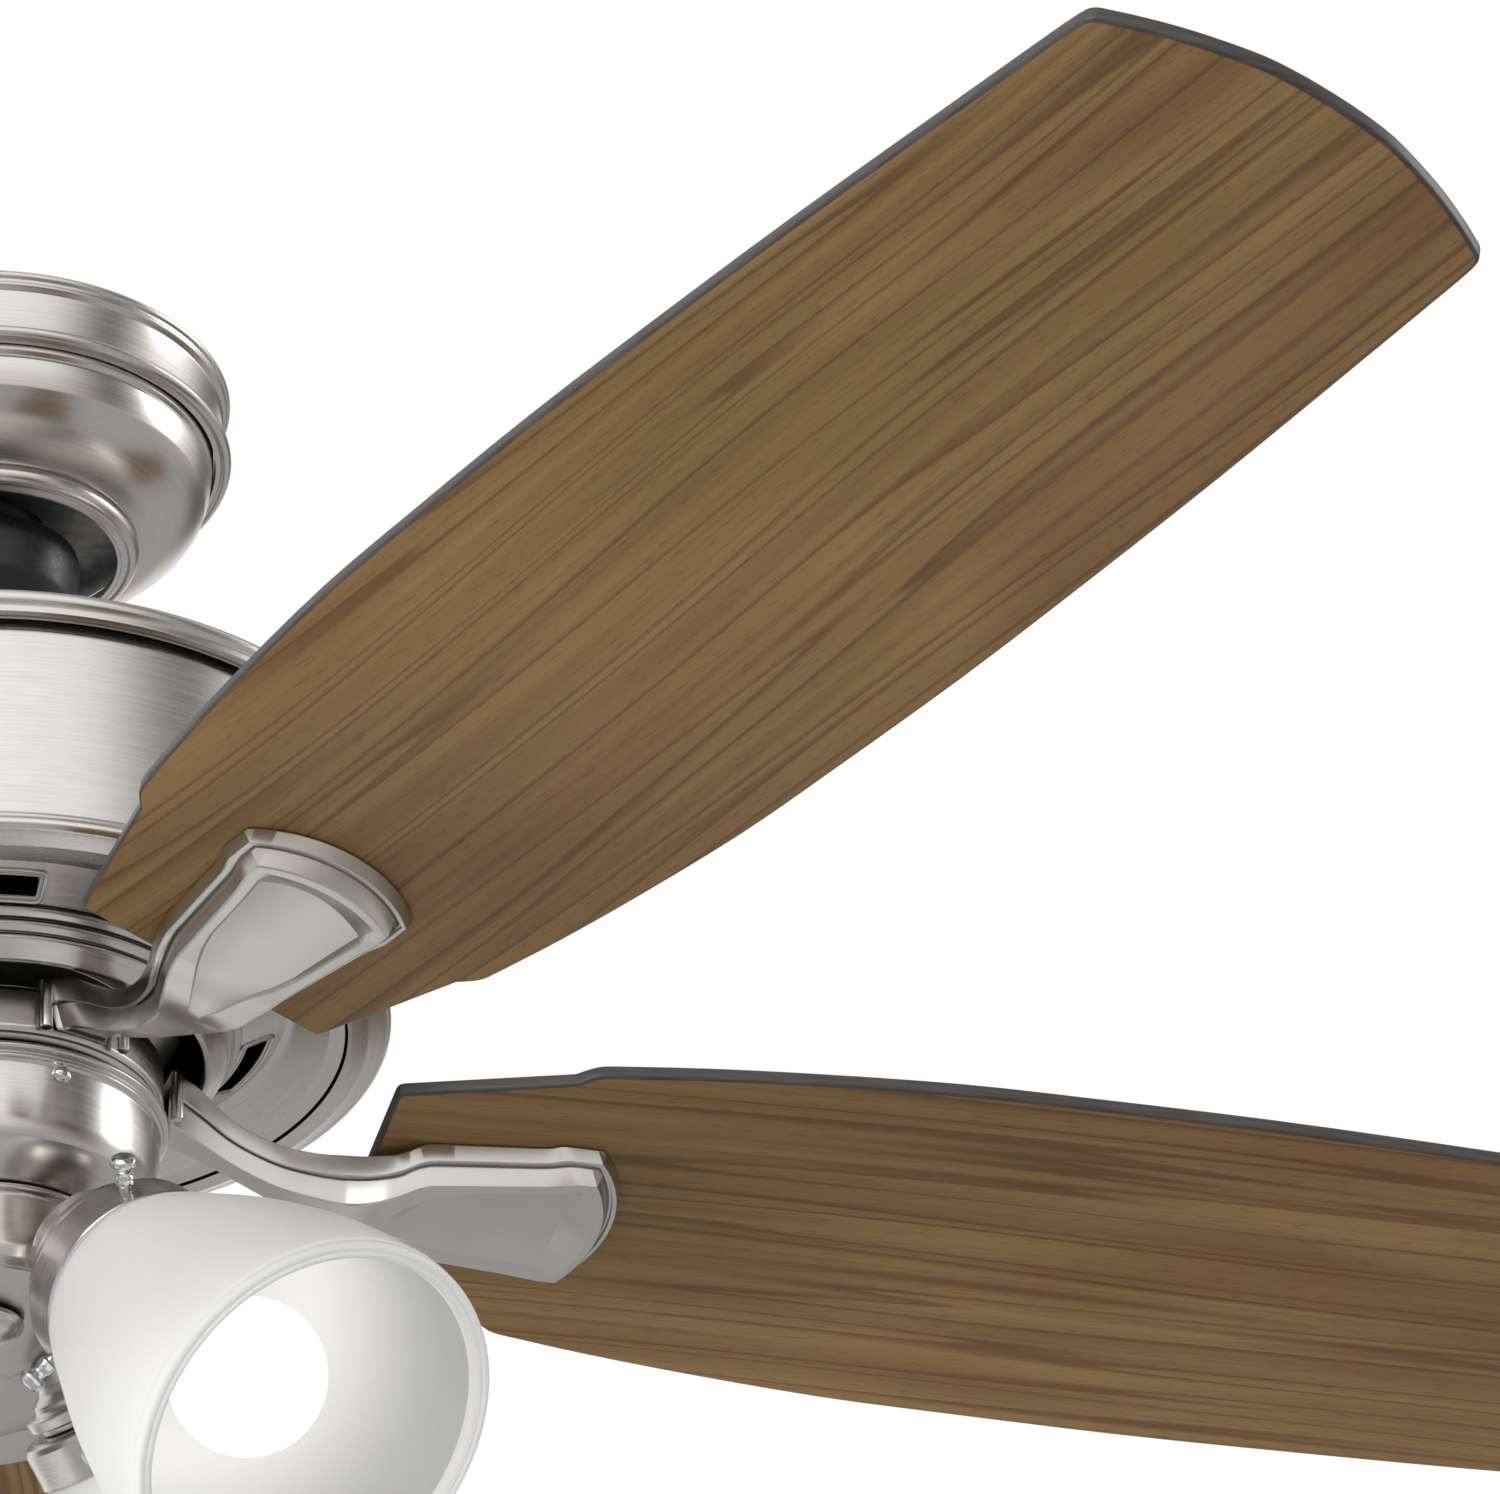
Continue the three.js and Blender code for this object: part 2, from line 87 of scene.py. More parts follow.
def pattern(tree, scale, detail=2.0, roughness=0.5, source=None):
    """Noise stretched by scale, in cells per metre along each axis. It lies on the piece's own
    coordinates unless another source is given. Its values stay between about 0.3 and 0.7."""
    source = source or add(tree, "ShaderNodeTexCoord").outputs["Object"]
    mapped = add(tree, "ShaderNodeMapping", inputs={"Vector": source, "Scale": scale})
    return add(tree, "ShaderNodeTexNoise", inputs={
        "Vector": mapped.outputs["Vector"], "Scale": 1.0, "Detail": detail, "Roughness": roughness,
    }).outputs["Fac"]


def mark_surface(tree, shader, marks, stops=(), roughness=(), depth_mm=0, strength=1.0):
    """Marks a surface with a pattern: in colour, in a range of roughness, and in real depth."""
    if stops:
        tones = add(tree, "ShaderNodeValToRGB", inputs={"Fac": marks}, stops=stops)
        tree.links.new(tones.outputs["Color"], shader.inputs["Base Color"])
    if roughness:
        low, high = roughness
        sheen = add(tree, "ShaderNodeMapRange", inputs={
            "Value": marks, "From Min": 0.3, "From Max": 0.7, "To Min": low, "To Max": high})
        tree.links.new(sheen.outputs["Result"], shader.inputs["Roughness"])
    if depth_mm:
        bump = add(tree, "ShaderNodeBump", inputs={
            "Height": marks, "Distance": depth_mm * MM, "Strength": strength})
        tree.links.new(bump.outputs["Normal"], shader.inputs["Normal"])


def dress(material, *pieces):
    """Gives each piece this one material."""
    for piece in pieces:
        piece.data.materials.clear()
        piece.data.materials.append(material)


# Zinc plating over pressed steel: cloudy patches 4 mm across and a fine grain.
zinc_plate, tree, shader = start_material("zinc_plated_steel", "#8e9296", 0.45, 1.0)
clouds = pattern(tree, (250, 250, 250), 4)
mark_surface(tree, shader, clouds, [(0.35, "#82868a"), (0.65, "#a0a4a8")], (0.36, 0.55))
mark_surface(tree, shader, pattern(tree, (2000, 2000, 2000)), depth_mm=0.03)
for name in ["hanger_bracket", "canopy_screw_back", "canopy_screw_front", "ball_pin", "clevis_pin",
             "motor_shaft", "upper_bearing", "lower_bearing", "switch_plate"]:
    dress(zinc_plate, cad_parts[name])

# ---- Canopy ------------------------------------------------------------------------------------
# A rolled trim ring against the ceiling and a spun bowl that tucks up inside it. Both are steel
# with satin nickel plating, lathe-brushed before plating, so fine lines run round them.


def soften(section, radius):
    """A section with each corner rounded by up to this radius, in four short steps."""
    points = [Vector(p) for p in section]
    result = []
    for i, corner in enumerate(points):
        back = points[i - 1] - corner
        on = points[(i + 1) % len(points)] - corner
        reach = min(radius, 0.42 * back.length, 0.42 * on.length)
        straight = back.normalized().dot(on.normalized()) < -0.97
        if straight or corner.x < 0.1:
            result.append(tuple(corner))
            continue
        start = corner + back.normalized() * reach
        end = corner + on.normalized() * reach
        for t in (0, 0.33, 0.67, 1):
            result.append(tuple(start * (1 - t) ** 2 + corner * 2 * t * (1 - t) + end * t * t))
    return result


def bead(centre_r, centre_z, radius, start, end, steps=6):
    """Points on a round bead of a section, by angle in degrees from outwards."""
    angles = [math.radians(start + (end - start) * i / steps) for i in range(steps + 1)]
    return [(centre_r + radius * math.cos(a), centre_z + radius * math.sin(a)) for a in angles]


def mark_turning(piece, section):
    """Stores how far round and how far along its section each vertex of a turned piece lies."""
    places = np.array([v.co[:] for v in piece.data.vertices])
    rings = np.array(section) * MM
    steps = np.hypot(*np.diff(rings, axis=0).T)
    lengths = np.concatenate([[0], np.cumsum(steps)])
    radii = np.maximum(np.hypot(places[:, 0], places[:, 1]), 1e-6)
    misses = (radii[:, None] - rings[:, 0]) ** 2 + (places[:, 2:3] - rings[:, 1]) ** 2
    along = lengths[np.argmin(misses, axis=1)]
    marks = np.column_stack([places[:, 0] / radii, places[:, 1] / radii, along])
    attribute = piece.data.attributes.get("turning")
    if attribute is None:
        attribute = piece.data.attributes.new("turning", "FLOAT_VECTOR", "POINT")
    attribute.data.foreach_set("vector", marks.astype(np.float32).ravel())


def turned(name, section, sides=144, radius=0.5, ring=True):
    """A turned piece. A circle is extruded from point to point of its section, [radius, height] in
    millimetres. A ring's last circle is bridged to its first; otherwise both ends are filled."""
    section = soften(section, radius) if radius else section
    section = [(max(r, 0.02), z) for r, z in section]
    bpy.ops.object.select_all(action="DESELECT")
    bpy.ops.mesh.primitive_circle_add(vertices=sides, radius=section[0][0] * MM)
    piece = bpy.context.object
    piece.name = name
    bpy.ops.object.mode_set(mode="EDIT")
    bpy.ops.mesh.select_mode(type="EDGE")
    bpy.ops.mesh.select_all(action="SELECT")
    bpy.ops.transform.translate(value=(0, 0, section[0][1] * MM))
    for (r0, z0), (r1, z1) in zip(section, section[1:]):
        rise = {"value": (0, 0, (z1 - z0) * MM)}
        bpy.ops.mesh.extrude_edges_move(TRANSFORM_OT_translate=rise)
        bpy.ops.transform.resize(value=(r1 / r0, r1 / r0, 1), center_override=(0, 0, 0))
    bpy.ops.mesh.select_all(action="DESELECT")
    bpy.ops.mesh.select_non_manifold()
    if ring:
        bpy.ops.mesh.bridge_edge_loops()
    else:
        bpy.ops.mesh.fill_holes(sides=0)
    bpy.ops.mesh.select_all(action="SELECT")
    bpy.ops.mesh.normals_make_consistent(inside=False)
    bpy.ops.object.mode_set(mode="OBJECT")
    bpy.ops.object.shade_smooth_by_angle(angle=math.radians(32))
    mark_turning(piece, section)
    return piece


def fit(piece, body, slot, *replaced):
    """Says which body carries a piece and what it stands for, by hiding the parts it replaces. The slot is
    not used.
    """
    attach(piece, body)
    if replaced:
        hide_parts(*replaced)


def brushed(name, line_mm, drag, base_dark, base_light, low, high, depth_mm):
    """Satin nickel with turning lines a given width apart. Drag is how many times a line's strength
    changes in an arc as long as its radius. Roughness runs from low to high between the lines."""
    material, tree, shader = start_material(name, base_light, low, 1.0)
    turning = add(tree, "ShaderNodeAttribute", {"attribute_name": "turning"}).outputs["Vector"]
    lines = pattern(tree, (drag, drag, 1 / (line_mm * MM)), 3, 0.6, turning)
    clouds = pattern(tree, (12, 12, 12), 1)
    both = add(tree, "ShaderNodeMath", {"operation": "ADD"}, {0: lines, 1: clouds}).outputs[0]
    half = add(tree, "ShaderNodeMath", {"operation": "MULTIPLY"}, {0: both, 1: 0.5}).outputs[0]
    mark_surface(tree, shader, half, roughness=(low, high))
    mark_surface(tree, shader, lines, [(0.3, base_dark), (0.7, base_light)], depth_mm=depth_mm)
    return material


# Satin nickel: warm grey, with soft reflections drawn out across the turning lines. The real lines
# are about 0.1 mm apart, and are drawn 0.5 mm apart so that they show.
satin_nickel = brushed("satin_nickel_turned", 0.5, 1.2, "#c9c6c2", "#d7d4d0", 0.23, 0.29, 0.0008)

ring_section = (
    [(74.6, -0.2), (78.4, -0.2), (79.6, -1.6), (79.3, -2.8), (78.5, -3.2), (78.5, -3.8)]
    + bead(77.7, -5.0, 1.0, 50, -60) + [(77.0, -6.6), (76.9, -8), (76.8, -20.2)]
    + bead(77.6, -23.0, 2.1, 110, -130, 8) + [(74.6, -25.2)]
)
canopy_ring = turned("canopy_trim_ring", ring_section, radius=0.3)
dress(satin_nickel, canopy_ring)
fit(canopy_ring, "ceiling_mount", "brushed_nickel", "canopy_ring")

bowl_section = (
    [(73.9, -10.2), (73.9, -24.5), (73.4, -26.6), (72.2, -27.6), (72.2, -28.4), (73.2, -29.2)]
    + [(72.6, -33.6), (71, -38.4), (68, -43), (63.4, -47.4), (57.6, -51), (51.6, -53.5), (49.6, -53.9)]
    + bead(46.6, -56.6, 3.2, 60, -100, 9) + [(44.2, -60.8), (42.8, -60.3), (43.4, -57), (46.8, -53)]
    + [(56, -49.9), (62, -46.2), (67, -41.2), (69.6, -36.4), (71, -31), (72.4, -24), (72.4, -10.2)]
)
canopy_bowl = turned("canopy_spun_bowl", bowl_section, radius=0.25)
dress(satin_nickel, canopy_bowl)
fit(canopy_bowl, "ceiling_mount", "brushed_nickel", "canopy_bowl")

# ---- Hanger ball, downrod and its coupling -------------------------------------------------------
# The ball is moulded black nylon on a nickel-plated steel downrod. A black dome covers the rod's
# wires under the canopy, and a turned steel coupling holds the motor, with a pin through both.

# Moulded black nylon: a faint orange-peel skin, and a broad soft sheen.
black_nylon, tree, shader = start_material("moulded_black_nylon", "#141416", 0.38)
skin = pattern(tree, (900, 900, 900))
mark_surface(tree, shader, skin, [(0.35, "#0f0f11"), (0.65, "#1d1d20")], (0.3, 0.46), 0.02)

BALL_Z = -38
ball_section = [(10.9, -22.4)] + bead(0, BALL_Z, 21.9, 45, -45, 24) + [(10.9, -53.4)]
hanger_ball = turned("hanger_ball_moulding", ball_section, 96, 0.2)
dress(black_nylon, hanger_ball)
fit(hanger_ball, "fan_body", "black_plastic", "hanger_ball")

downrod = turned("downrod_tube", [(8.6, -145.8), (10.4, -145.8), (10.4, -24.2), (8.6, -24.2)], 96, 0.5)
dress(satin_nickel, downrod)
fit(downrod, "fan_body", "brushed_nickel", "downrod")

dome_section = [
    (30.4, -60.2), (30.9, -63), (30.8, -66.4), (28.2, -77.8), (24.6, -83.8), (20.8, -87.8), (14, -92.6),
    (10.9, -92.8), (10.9, -90.6), (13.6, -90.4), (19.4, -86), (26.2, -77), (28.8, -66.4), (28.6, -60.2),
]
yoke_dome = turned("yoke_cover_dome", dome_section, 96, 1.2)
dress(black_nylon, yoke_dome)
fit(yoke_dome, "fan_body", "black_plastic", "yoke_cover")

coupling_section = [
    (10.9, -116.2), (16.8, -116.2), (16.8, -120), (16, -120.6), (16, -122), (16.8, -122.6),
    (16.8, -142.8), (33.8, -142.8), (33.8, -145.8), (16.8, -147), (16.8, -157.8), (8.4, -157.8),
    (8.4, -150.6), (5.2, -150.6), (5.2, -146.6), (10.9, -146.6),
]
coupling = turned("motor_coupling_turned", coupling_section, 96, 0.5)
dress(zinc_plate, coupling)
fit(coupling, "fan_body", "zinc_steel", "motor_coupling")

# ---- Stator and rotor bell -----------------------------------------------------------------------
# Stacked steel sheet wound with varnished copper, and a rotor bell round it, coloured near-black as
# painted shade for the shadow inside the housing. All of it is inside the housing, where only the
# dark bell shows through the gap at the hub.

# Laminated steel: sheets half a millimetre thick, drawn 1 mm apart.
lamination, tree, shader = start_material("stacked_lamination_steel", "#5d5f62", 0.5, 1.0)
sheets = pattern(tree, (30, 30, 1000), 0)
mark_surface(tree, shader, sheets, [(0.4, "#46484b"), (0.6, "#74777a")], depth_mm=0.15)
dress(lamination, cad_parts["stator_core"])

# Varnished copper wire, 0.8 mm thick, wound flat round the spool.
copper_wire, tree, shader = start_material("varnished_copper_wire", "#8a4a24", 0.3, 1.0)
turns = pattern(tree, (40, 40, 1250), 1)
mark_surface(tree, shader, turns, [(0.4, "#6b3316"), (0.6, "#a75a2c")], depth_mm=0.3)
dress(copper_wire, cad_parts["stator_winding"])

# Painted shade: a matt near-black with slight runs, for the shadow inside the housing. It is put on
# the rotor bell and on the housing's inside faces.
black_enamel, tree, shader = start_material("matt_black_painted_shade", "#0b0b0c", 0.85)
runs = pattern(tree, (120, 120, 30))
mark_surface(tree, shader, runs, [(0.4, "#040405"), (0.6, "#0a0a0b")], depth_mm=0.05)
shader.inputs["Specular IOR Level"].default_value = 0.15


def paint_shade_inside(piece, inside):
    """Paints shade, in the matt near-black, on the faces of a housing part that pass a test on their
    distance from the axis in millimetres, and on how far they face outwards and up."""
    piece.data.materials.append(black_enamel)
    for face in piece.data.polygons:
        distance = math.hypot(face.center.x, face.center.y)
        outwards = (face.normal.x * face.center.x + face.normal.y * face.center.y) / distance
        if inside(distance / MM, outwards, face.normal.z):
            face.material_index = 1


bell_section = [
    (16.1, -175.8), (57.8, -175.8), (59.8, -178), (59.8, -227.8), (62.2, -227.8), (62.2, -171.2),
    (59.8, -168.8), (16.1, -168.8),
]
rotor_bell = turned("rotor_bell_pressing", bell_section, 96, 0.8)
# The rotor bell takes the near-black painted shade.
dress(black_enamel, rotor_bell)
fit(rotor_bell, "rotor", "black_enamel", "rotor_bell")

# ---- Motor housing -------------------------------------------------------------------------------
# A drawn cover, a rolled barrel and a perforated ring below, of nickel-plated steel. The barrel is
# brushed round with a coarser belt, and the cover's and the ring's beads are lathe-turned.
cover_section = (
    [(17.6, -139.8), (60, -141.2), (107, -143.9), (119, -146.4), (119.6, -147.6), (121, -147.9)]
    + bead(123.6, -151.2, 3.2, 100, -40, 9) + [(125.6, -154.4), (125.8, -156.4), (123.6, -156.8)]
    + [(121.8, -156.8), (121.8, -151.4), (107, -146.2), (36, -142.1), (17.6, -142.1)]
)
housing_cover = turned("housing_top_cover", cover_section, 192, 0.3)
dress(satin_nickel, housing_cover)
# The cover's underside, inside the housing, is coloured near-black as painted shade.
paint_shade_inside(housing_cover, lambda r, outwards, up: up < -0.5 and r < 119)
fit(housing_cover, "fan_body", "brushed_nickel", "housing_cover")

# Belt-brushed nickel: short horizontal scratches, longer than those of the turned parts.
belt_nickel = brushed("satin_nickel_belt_brushed", 0.5, 5.0, "#ccc9c5", "#dedbd7", 0.25, 0.31, 0.0011)
barrel_section = (
    [(118.6, -151.8), (119.6, -151.8), (119.6, -159.2), (121.3, -160.2), (121.4, -161.6)]
    + [(121.4, -224.4), (121.8, -225.4), (122.8, -225.8)] + bead(122.9, -228.2, 2.4, 90, 0, 5)
    + [(125.6, -228.8)] + bead(124.4, -230.6, 2.4, 20, -80, 6) + [(123.2, -233.4), (119.4, -235.2)]
    + [(113.2, -235.4), (113.2, -234.2), (119.8, -228.2), (119.8, -161.4), (118.6, -160.2)]
)
housing_barrel = turned("housing_brushed_barrel", barrel_section, 192, 0.25)
dress(belt_nickel, housing_barrel)
# The barrel's inner faces are coloured near-black as painted shade.
paint_shade_inside(housing_barrel, lambda r, outwards, up: outwards < -0.3)
fit(housing_barrel, "fan_body", "brushed_nickel_barrel", "housing_barrel")

VENTS = 10
VENT_START = -89.5
VENT_HALF_ANGLE = 10.7
VENT_RADII = (83, 89.5)
VENT_MIDDLE = 86
# The vents are cut in a cone on the ring's underside: its outer and inner edge, [radius, height].
CONE_OUTER = (94.6, -225.4)
CONE_INNER = (80, -232.6)


def vent_height(radius):
    """Height of the ring's conical underside at a radius."""
    slope = (CONE_OUTER[1] - CONE_INNER[1]) / (CONE_OUTER[0] - CONE_INNER[0])
    return CONE_OUTER[1] - (CONE_OUTER[0] - radius) * slope


def vent_loop(margin):
    """A vent's outline grown by a margin: distance from the axis, and angle in degrees."""
    inner, outer = VENT_RADII[0] - margin, VENT_RADII[1] + margin
    half = VENT_HALF_ANGLE + math.degrees(margin / VENT_MIDDLE)
    corner = 0.9 + 0.5 * margin
    turn = math.degrees(corner / VENT_MIDDLE)
    corners = [(outer, half, 0), (inner, half, 90), (inner, -half, 180), (outer, -half, 270)]
    loop = []
    for radius, angle, start in corners:
        centre_r = radius - corner if radius == outer else radius + corner
        centre_a = angle - turn if angle > 0 else angle + turn
        for step in range(4):
            a = math.radians(start + 30 * step)
            loop.append((centre_r + corner * math.cos(a), centre_a + turn * math.sin(a)))
    dense = []
    for (r0, a0), (r1, a1) in zip(loop, loop[1:] + loop[:1]):
        parts = max(1, round(abs(a1 - a0) / 2))
        dense += [(r0 + (r1 - r0) * k / parts, a0 + (a1 - a0) * k / parts) for k in range(parts)]
    return dense


def vent_places(margin, index):
    """The outline of one vent in its place on the ring: x, y and distance from the axis."""
    turn = VENT_START + index * 360 / VENTS
    places = [(radius, math.radians(angle + turn)) for radius, angle in vent_loop(margin)]
    return [(radius * math.cos(a), radius * math.sin(a), radius) for radius, a in places]


def board_from(outline, bottom, thickness):
    """A flat board: an outline of points [x, y] in millimetres, filled and extruded upwards."""
    bpy.ops.object.select_all(action="DESELECT")
    bpy.ops.mesh.primitive_circle_add(vertices=len(outline), fill_type="NGON")
    piece = bpy.context.object
    for vertex, (x, y) in zip(piece.data.vertices, outline):
        vertex.co = (x * MM, y * MM, bottom * MM)
    bpy.ops.object.mode_set(mode="EDIT")
    bpy.ops.mesh.select_all(action="SELECT")
    bpy.ops.mesh.extrude_region_move(TRANSFORM_OT_translate={"value": (0, 0, thickness * MM)})
    bpy.ops.mesh.select_all(action="SELECT")
    bpy.ops.mesh.normals_make_consistent(inside=False)
    bpy.ops.object.mode_set(mode="OBJECT")
    return piece


def select_only(pieces):
    """Selects these pieces and nothing else. The first is the active one."""
    bpy.ops.object.select_all(action="DESELECT")
    for piece in pieces:
        piece.select_set(True)
    bpy.context.view_layer.objects.active = pieces[0]


ring_section = (
    [(112.4, -233.4), (112.4, -234.8), (107.6, -233.4), (97.8, -226.5), (96.4, -225.7)]
    + [(94.4, -225.4), (80.6, -232.2)] + bead(79.2, -233.7, 1.3, 70, -50, 5) + [(78.8, -235.6)]
    + bead(76.9, -237.2, 1.4, 60, -60, 5) + [(76.6, -239.4)] + bead(74.7, -240.9, 1.5, 50, -70, 5)
    + [(73.8, -243.4), (70.8, -246.1), (69.2, -246.3), (68.5, -245.6), (68.5, -244.4)]
    + [(76, -235.4), (79, -230.8), (94.6, -223.7), (98.6, -224.8), (108.2, -231.8)]
)
vent_ring = turned("housing_vent_ring", ring_section, 192, 0.2)
for i in range(VENTS):
    cutter = board_from([place[:2] for place in vent_places(0, i)], bottom=-238, thickness=18)
    slot_cut = vent_ring.modifiers.new("vent", "BOOLEAN")
    slot_cut.object = cutter
    slot_cut.solver = "EXACT"
    bpy.context.view_layer.objects.active = vent_ring
    bpy.ops.object.modifier_apply(modifier="vent")
    bpy.data.objects.remove(cutter)
mark_turning(vent_ring, soften(ring_section, 0.2))
dress(satin_nickel, vent_ring)
# The ring's top side and the walls of its vents are coloured near-black as painted shade.
paint_shade_inside(vent_ring, lambda r, outwards, up: up > 0.2 or (
    abs(up) < 0.2 and VENT_RADII[0] - 1 < r < VENT_RADII[1] + 1))
fit(vent_ring, "fan_body", "brushed_nickel", "vent_ring")

# Each vent has two pressed beads round it, a wide one outside and a fine one at the opening.
rims = []
for i in range(VENTS):
    for margin, thick in [(1.8, 0.7), (0.4, 0.35)]:
        curve = bpy.data.curves.new("vent_rim_line", "CURVE")
        curve.dimensions = "3D"
        curve.bevel_depth = thick * MM
        curve.bevel_resolution = 2
        places = vent_places(margin, i)
        spline = curve.splines.new("POLY")
        spline.points.add(len(places) - 1)
        spline.use_cyclic_u = True
        for point, (x, y, radius) in zip(spline.points, places):
            point.co = (x * MM, y * MM, vent_height(radius) * MM, 1)
        rim = bpy.data.objects.new("vent_rim", curve)
        bpy.context.scene.collection.objects.link(rim)
        rims.append(rim)
select_only(rims)
bpy.ops.object.convert(target="MESH")
bpy.ops.object.join()
vent_rims = bpy.context.object
vent_rims.name = "housing_vent_rims"
bpy.ops.object.shade_smooth_by_angle(angle=math.radians(50))
mark_turning(vent_rims, [CONE_INNER, CONE_OUTER])
dress(satin_nickel, vent_rims)
fit(vent_rims, "fan_body", "brushed_nickel")

# ---- Flywheel hub --------------------------------------------------------------------------------
# A die-cast hub under the rotor bell, turned and nickel plated. The five blade irons are screwed
# to it, and each iron's foot ends at a small upright rib.
hub_section = [
    (61.8, -228.6), (61.8, -231.8), (50, -233.8), (50, -246.2), (55.6, -246.6), (56, -248),
    (56, -260.6), (55.2, -262.2), (54.4, -262.4), (53.2, -264), (16.1, -264.2), (16.1, -250.8),
    (44, -236), (44, -228.6),
]
hub = turned("flywheel_hub_turned", hub_section, 144, 0.5)
dress(satin_nickel, hub)
fit(hub, "rotor", "brushed_nickel", "flywheel_hub")

# ---- Blade irons ---------------------------------------------------------------------------------
# Zinc castings with satin nickel plating. A narrow stepped arm leaves the hub, dips, and spreads
# into a plate under the blade's root, with a bevelled rim and a shallow dished panel.
BLADES = 5
BLADE_PLANE = -270
FIRST_BLADE = -57.7
PITCH = -12.5
# Distance from the axis, half width, and the heights of the top face and the underside.
IRON_STATIONS = np.array([
    [56.8, 15.6, 24, 9], [58.4, 13.8, 24, 8.7], [62, 11.6, 23.8, 8], [69, 8.8, 20.6, 4.6],
    [79, 6.8, 13.2, -0.6], [92, 7.4, 6.9, -6.8], [103, 10.2, 2.8, -11], [112, 13.4, 0.2, -14.2],
    [120, 17, -2.4, -16.2], [128, 20.6, -3.6, -16], [136, 23.1, -0.8, -13.2], [146, 24.5, -0.4, -12.3],
    [191.5, 29.9, -0.4, -10.6], [206, 29.9, -0.4, -10.2],
])
IRON_FOOT = 56.8
PLATE_END = 204.1
PLATE_ARC = 41.8
PLATE_WIDEST = 191.5
ARC_STARTS = (170, 194)         # the rows of the plate bend into its rounded end between these
TWIST_STARTS = (72, 132)        # the arm twists to the blade's pitch between these
# Distances in from the edge over the stepped rim, and how far each has dropped to the underside.
# 0 is the step between the two tiers, and the top face is at -0.82.
RIM = [0, 1.5, 1.9, 2.9, 3.2, 3.8, 4.1, 6.4, 7.0]
RIM_DROP = [-0.74, 0, 0.04, 0.04, -0.14, -0.14, 0.05, 0.93, 1.0]
RIM_SHARE = 0.5
STEP_SHARE = 0.45
# The panel's half width along the arm, and its depth. It starts as a point at the arm's neck.
PANEL_HALF = [
    [118, 0.8], [124, 2.4], [131, 6.4], [138, 10.2], [146, 13.8], [154, 16], [196, 20.6], [206, 20.6],
]
PANEL_DEPTH = [[122, 0], [130, 1.2], [142, 2.6], [160, 4], [186, 5.2]]
PANEL_END = [9.6, 18.6]         # the flat facet across its outer end, by distance from that end
PANEL_SHARES = [1.0, 0.97, 0.92, 0.82, 0.7, 0.55, 0.4, 0.2, 0]


def smooth(low, high, value):
    """0 below low, 1 above high and a smooth rise between them."""
    t = np.clip((value - low) / (high - low), 0, 1)
    return t * t * (3 - 2 * t)


def curve_through(points, steps):
    """A smooth curve through points: cubic pieces that share their slopes."""
    points = [np.array(p, dtype=float) for p in points]
    result = []
    for i in range(len(points) - 1):
        before, start = points[max(i - 1, 0)], points[i]
        end, after = points[i + 1], points[min(i + 2, len(points) - 1)]
        for k in range(steps):
            t = k / steps
            square = (2 * before - 5 * start + 4 * end - after) * t * t
            cube = (3 * start - before - 3 * end + after) * t ** 3
            result.append(0.5 * (2 * start + (end - before) * t + square + cube))
    return result + [points[-1]]


IRON_CURVE = np.array(curve_through(IRON_STATIONS[:-1], 8) + [IRON_STATIONS[-1]])


def along_iron(u, column):
    """A column of the stations, read off the smooth curve at a distance from the axis."""
    return np.interp(u, IRON_CURVE[:, 0], IRON_CURVE[:, column])


def table(rows, u):
    return np.interp(u, [row[0] for row in rows], [row[1] for row in rows])


def iron_height(u, edge, share, from_end):
    """Height of the underside, by distance in from the rim and share of the panel's half width."""
    top, under = along_iron(u, 2), along_iron(u, 3)
    step = top + STEP_SHARE * (under - top)
    height = step + (under - step) * np.interp(edge, RIM, RIM_DROP)
    if share is None:
        return height
    facet = np.clip((from_end - PANEL_END[0]) / (PANEL_END[1] - PANEL_END[0]), 0, 1)
    wall = smooth(0, 0.08, 1 - share)
    depth = table(PANEL_DEPTH, u) * (0.3 + 0.7 * (1 - share * share))
    return height + depth * wall * facet


def iron_sheet(name, underside):
    """One face of an iron as a grid of rows along the arm, each running from edge to edge."""
    near_end = [PANEL_END[1] + 0.6, PANEL_END[1], 15.5, 12.5, PANEL_END[0], 9] + RIM[::-1]
    last = PLATE_END - near_end[0] - 1
    along = np.concatenate([np.linspace(IRON_FOOT, 150, 76), np.linspace(152, last, 16)])
    rows = [(u, PLATE_END - u) for u in along] + [(PLATE_END - d, d) for d in near_end]
    side = [("rim", d) for d in RIM] + [("panel", q) for q in PANEL_SHARES]
    columns = [(-1, c) for c in side] + [(1, c) for c in side[-2::-1]]
    bpy.ops.object.select_all(action="DESELECT")
    count = len(rows)
    bpy.ops.mesh.primitive_grid_add(
        x_subdivisions=count - 1, y_subdivisions=len(columns) - 1, size=1)
    sheet = bpy.context.object
    sheet.name = name
    for index, vertex in enumerate(sheet.data.vertices):
        (row, from_end), (sign, (kind, value)) = rows[index % count], columns[index // count]
        half = along_iron(min(row, PLATE_WIDEST), 1)
        rim_scale = min(1, RIM_SHARE * half / RIM[-1])
        panel_half = min(table(PANEL_HALF, row), half - 1.1 * rim_scale * RIM[-1])
        share = value if kind == "panel" else None
        v = panel_half * value if kind == "panel" else half - value * rim_scale
        end_u = PLATE_END - PLATE_ARC + math.sqrt(PLATE_ARC ** 2 - v * v)
        u = row + (end_u - PLATE_END) * smooth(*ARC_STARTS, row)
        height = along_iron(u, 2)
        if underside:
            height = iron_height(row, min((half - v) / rim_scale, from_end), share, from_end)
        twist = math.radians(PITCH) * smooth(*TWIST_STARTS, u)
        v *= sign
        vertex.co = (u * MM, (v * math.cos(twist) - height * math.sin(twist)) * MM,
                     (v * math.sin(twist) + height * math.cos(twist) + BLADE_PLANE) * MM)
    return sheet


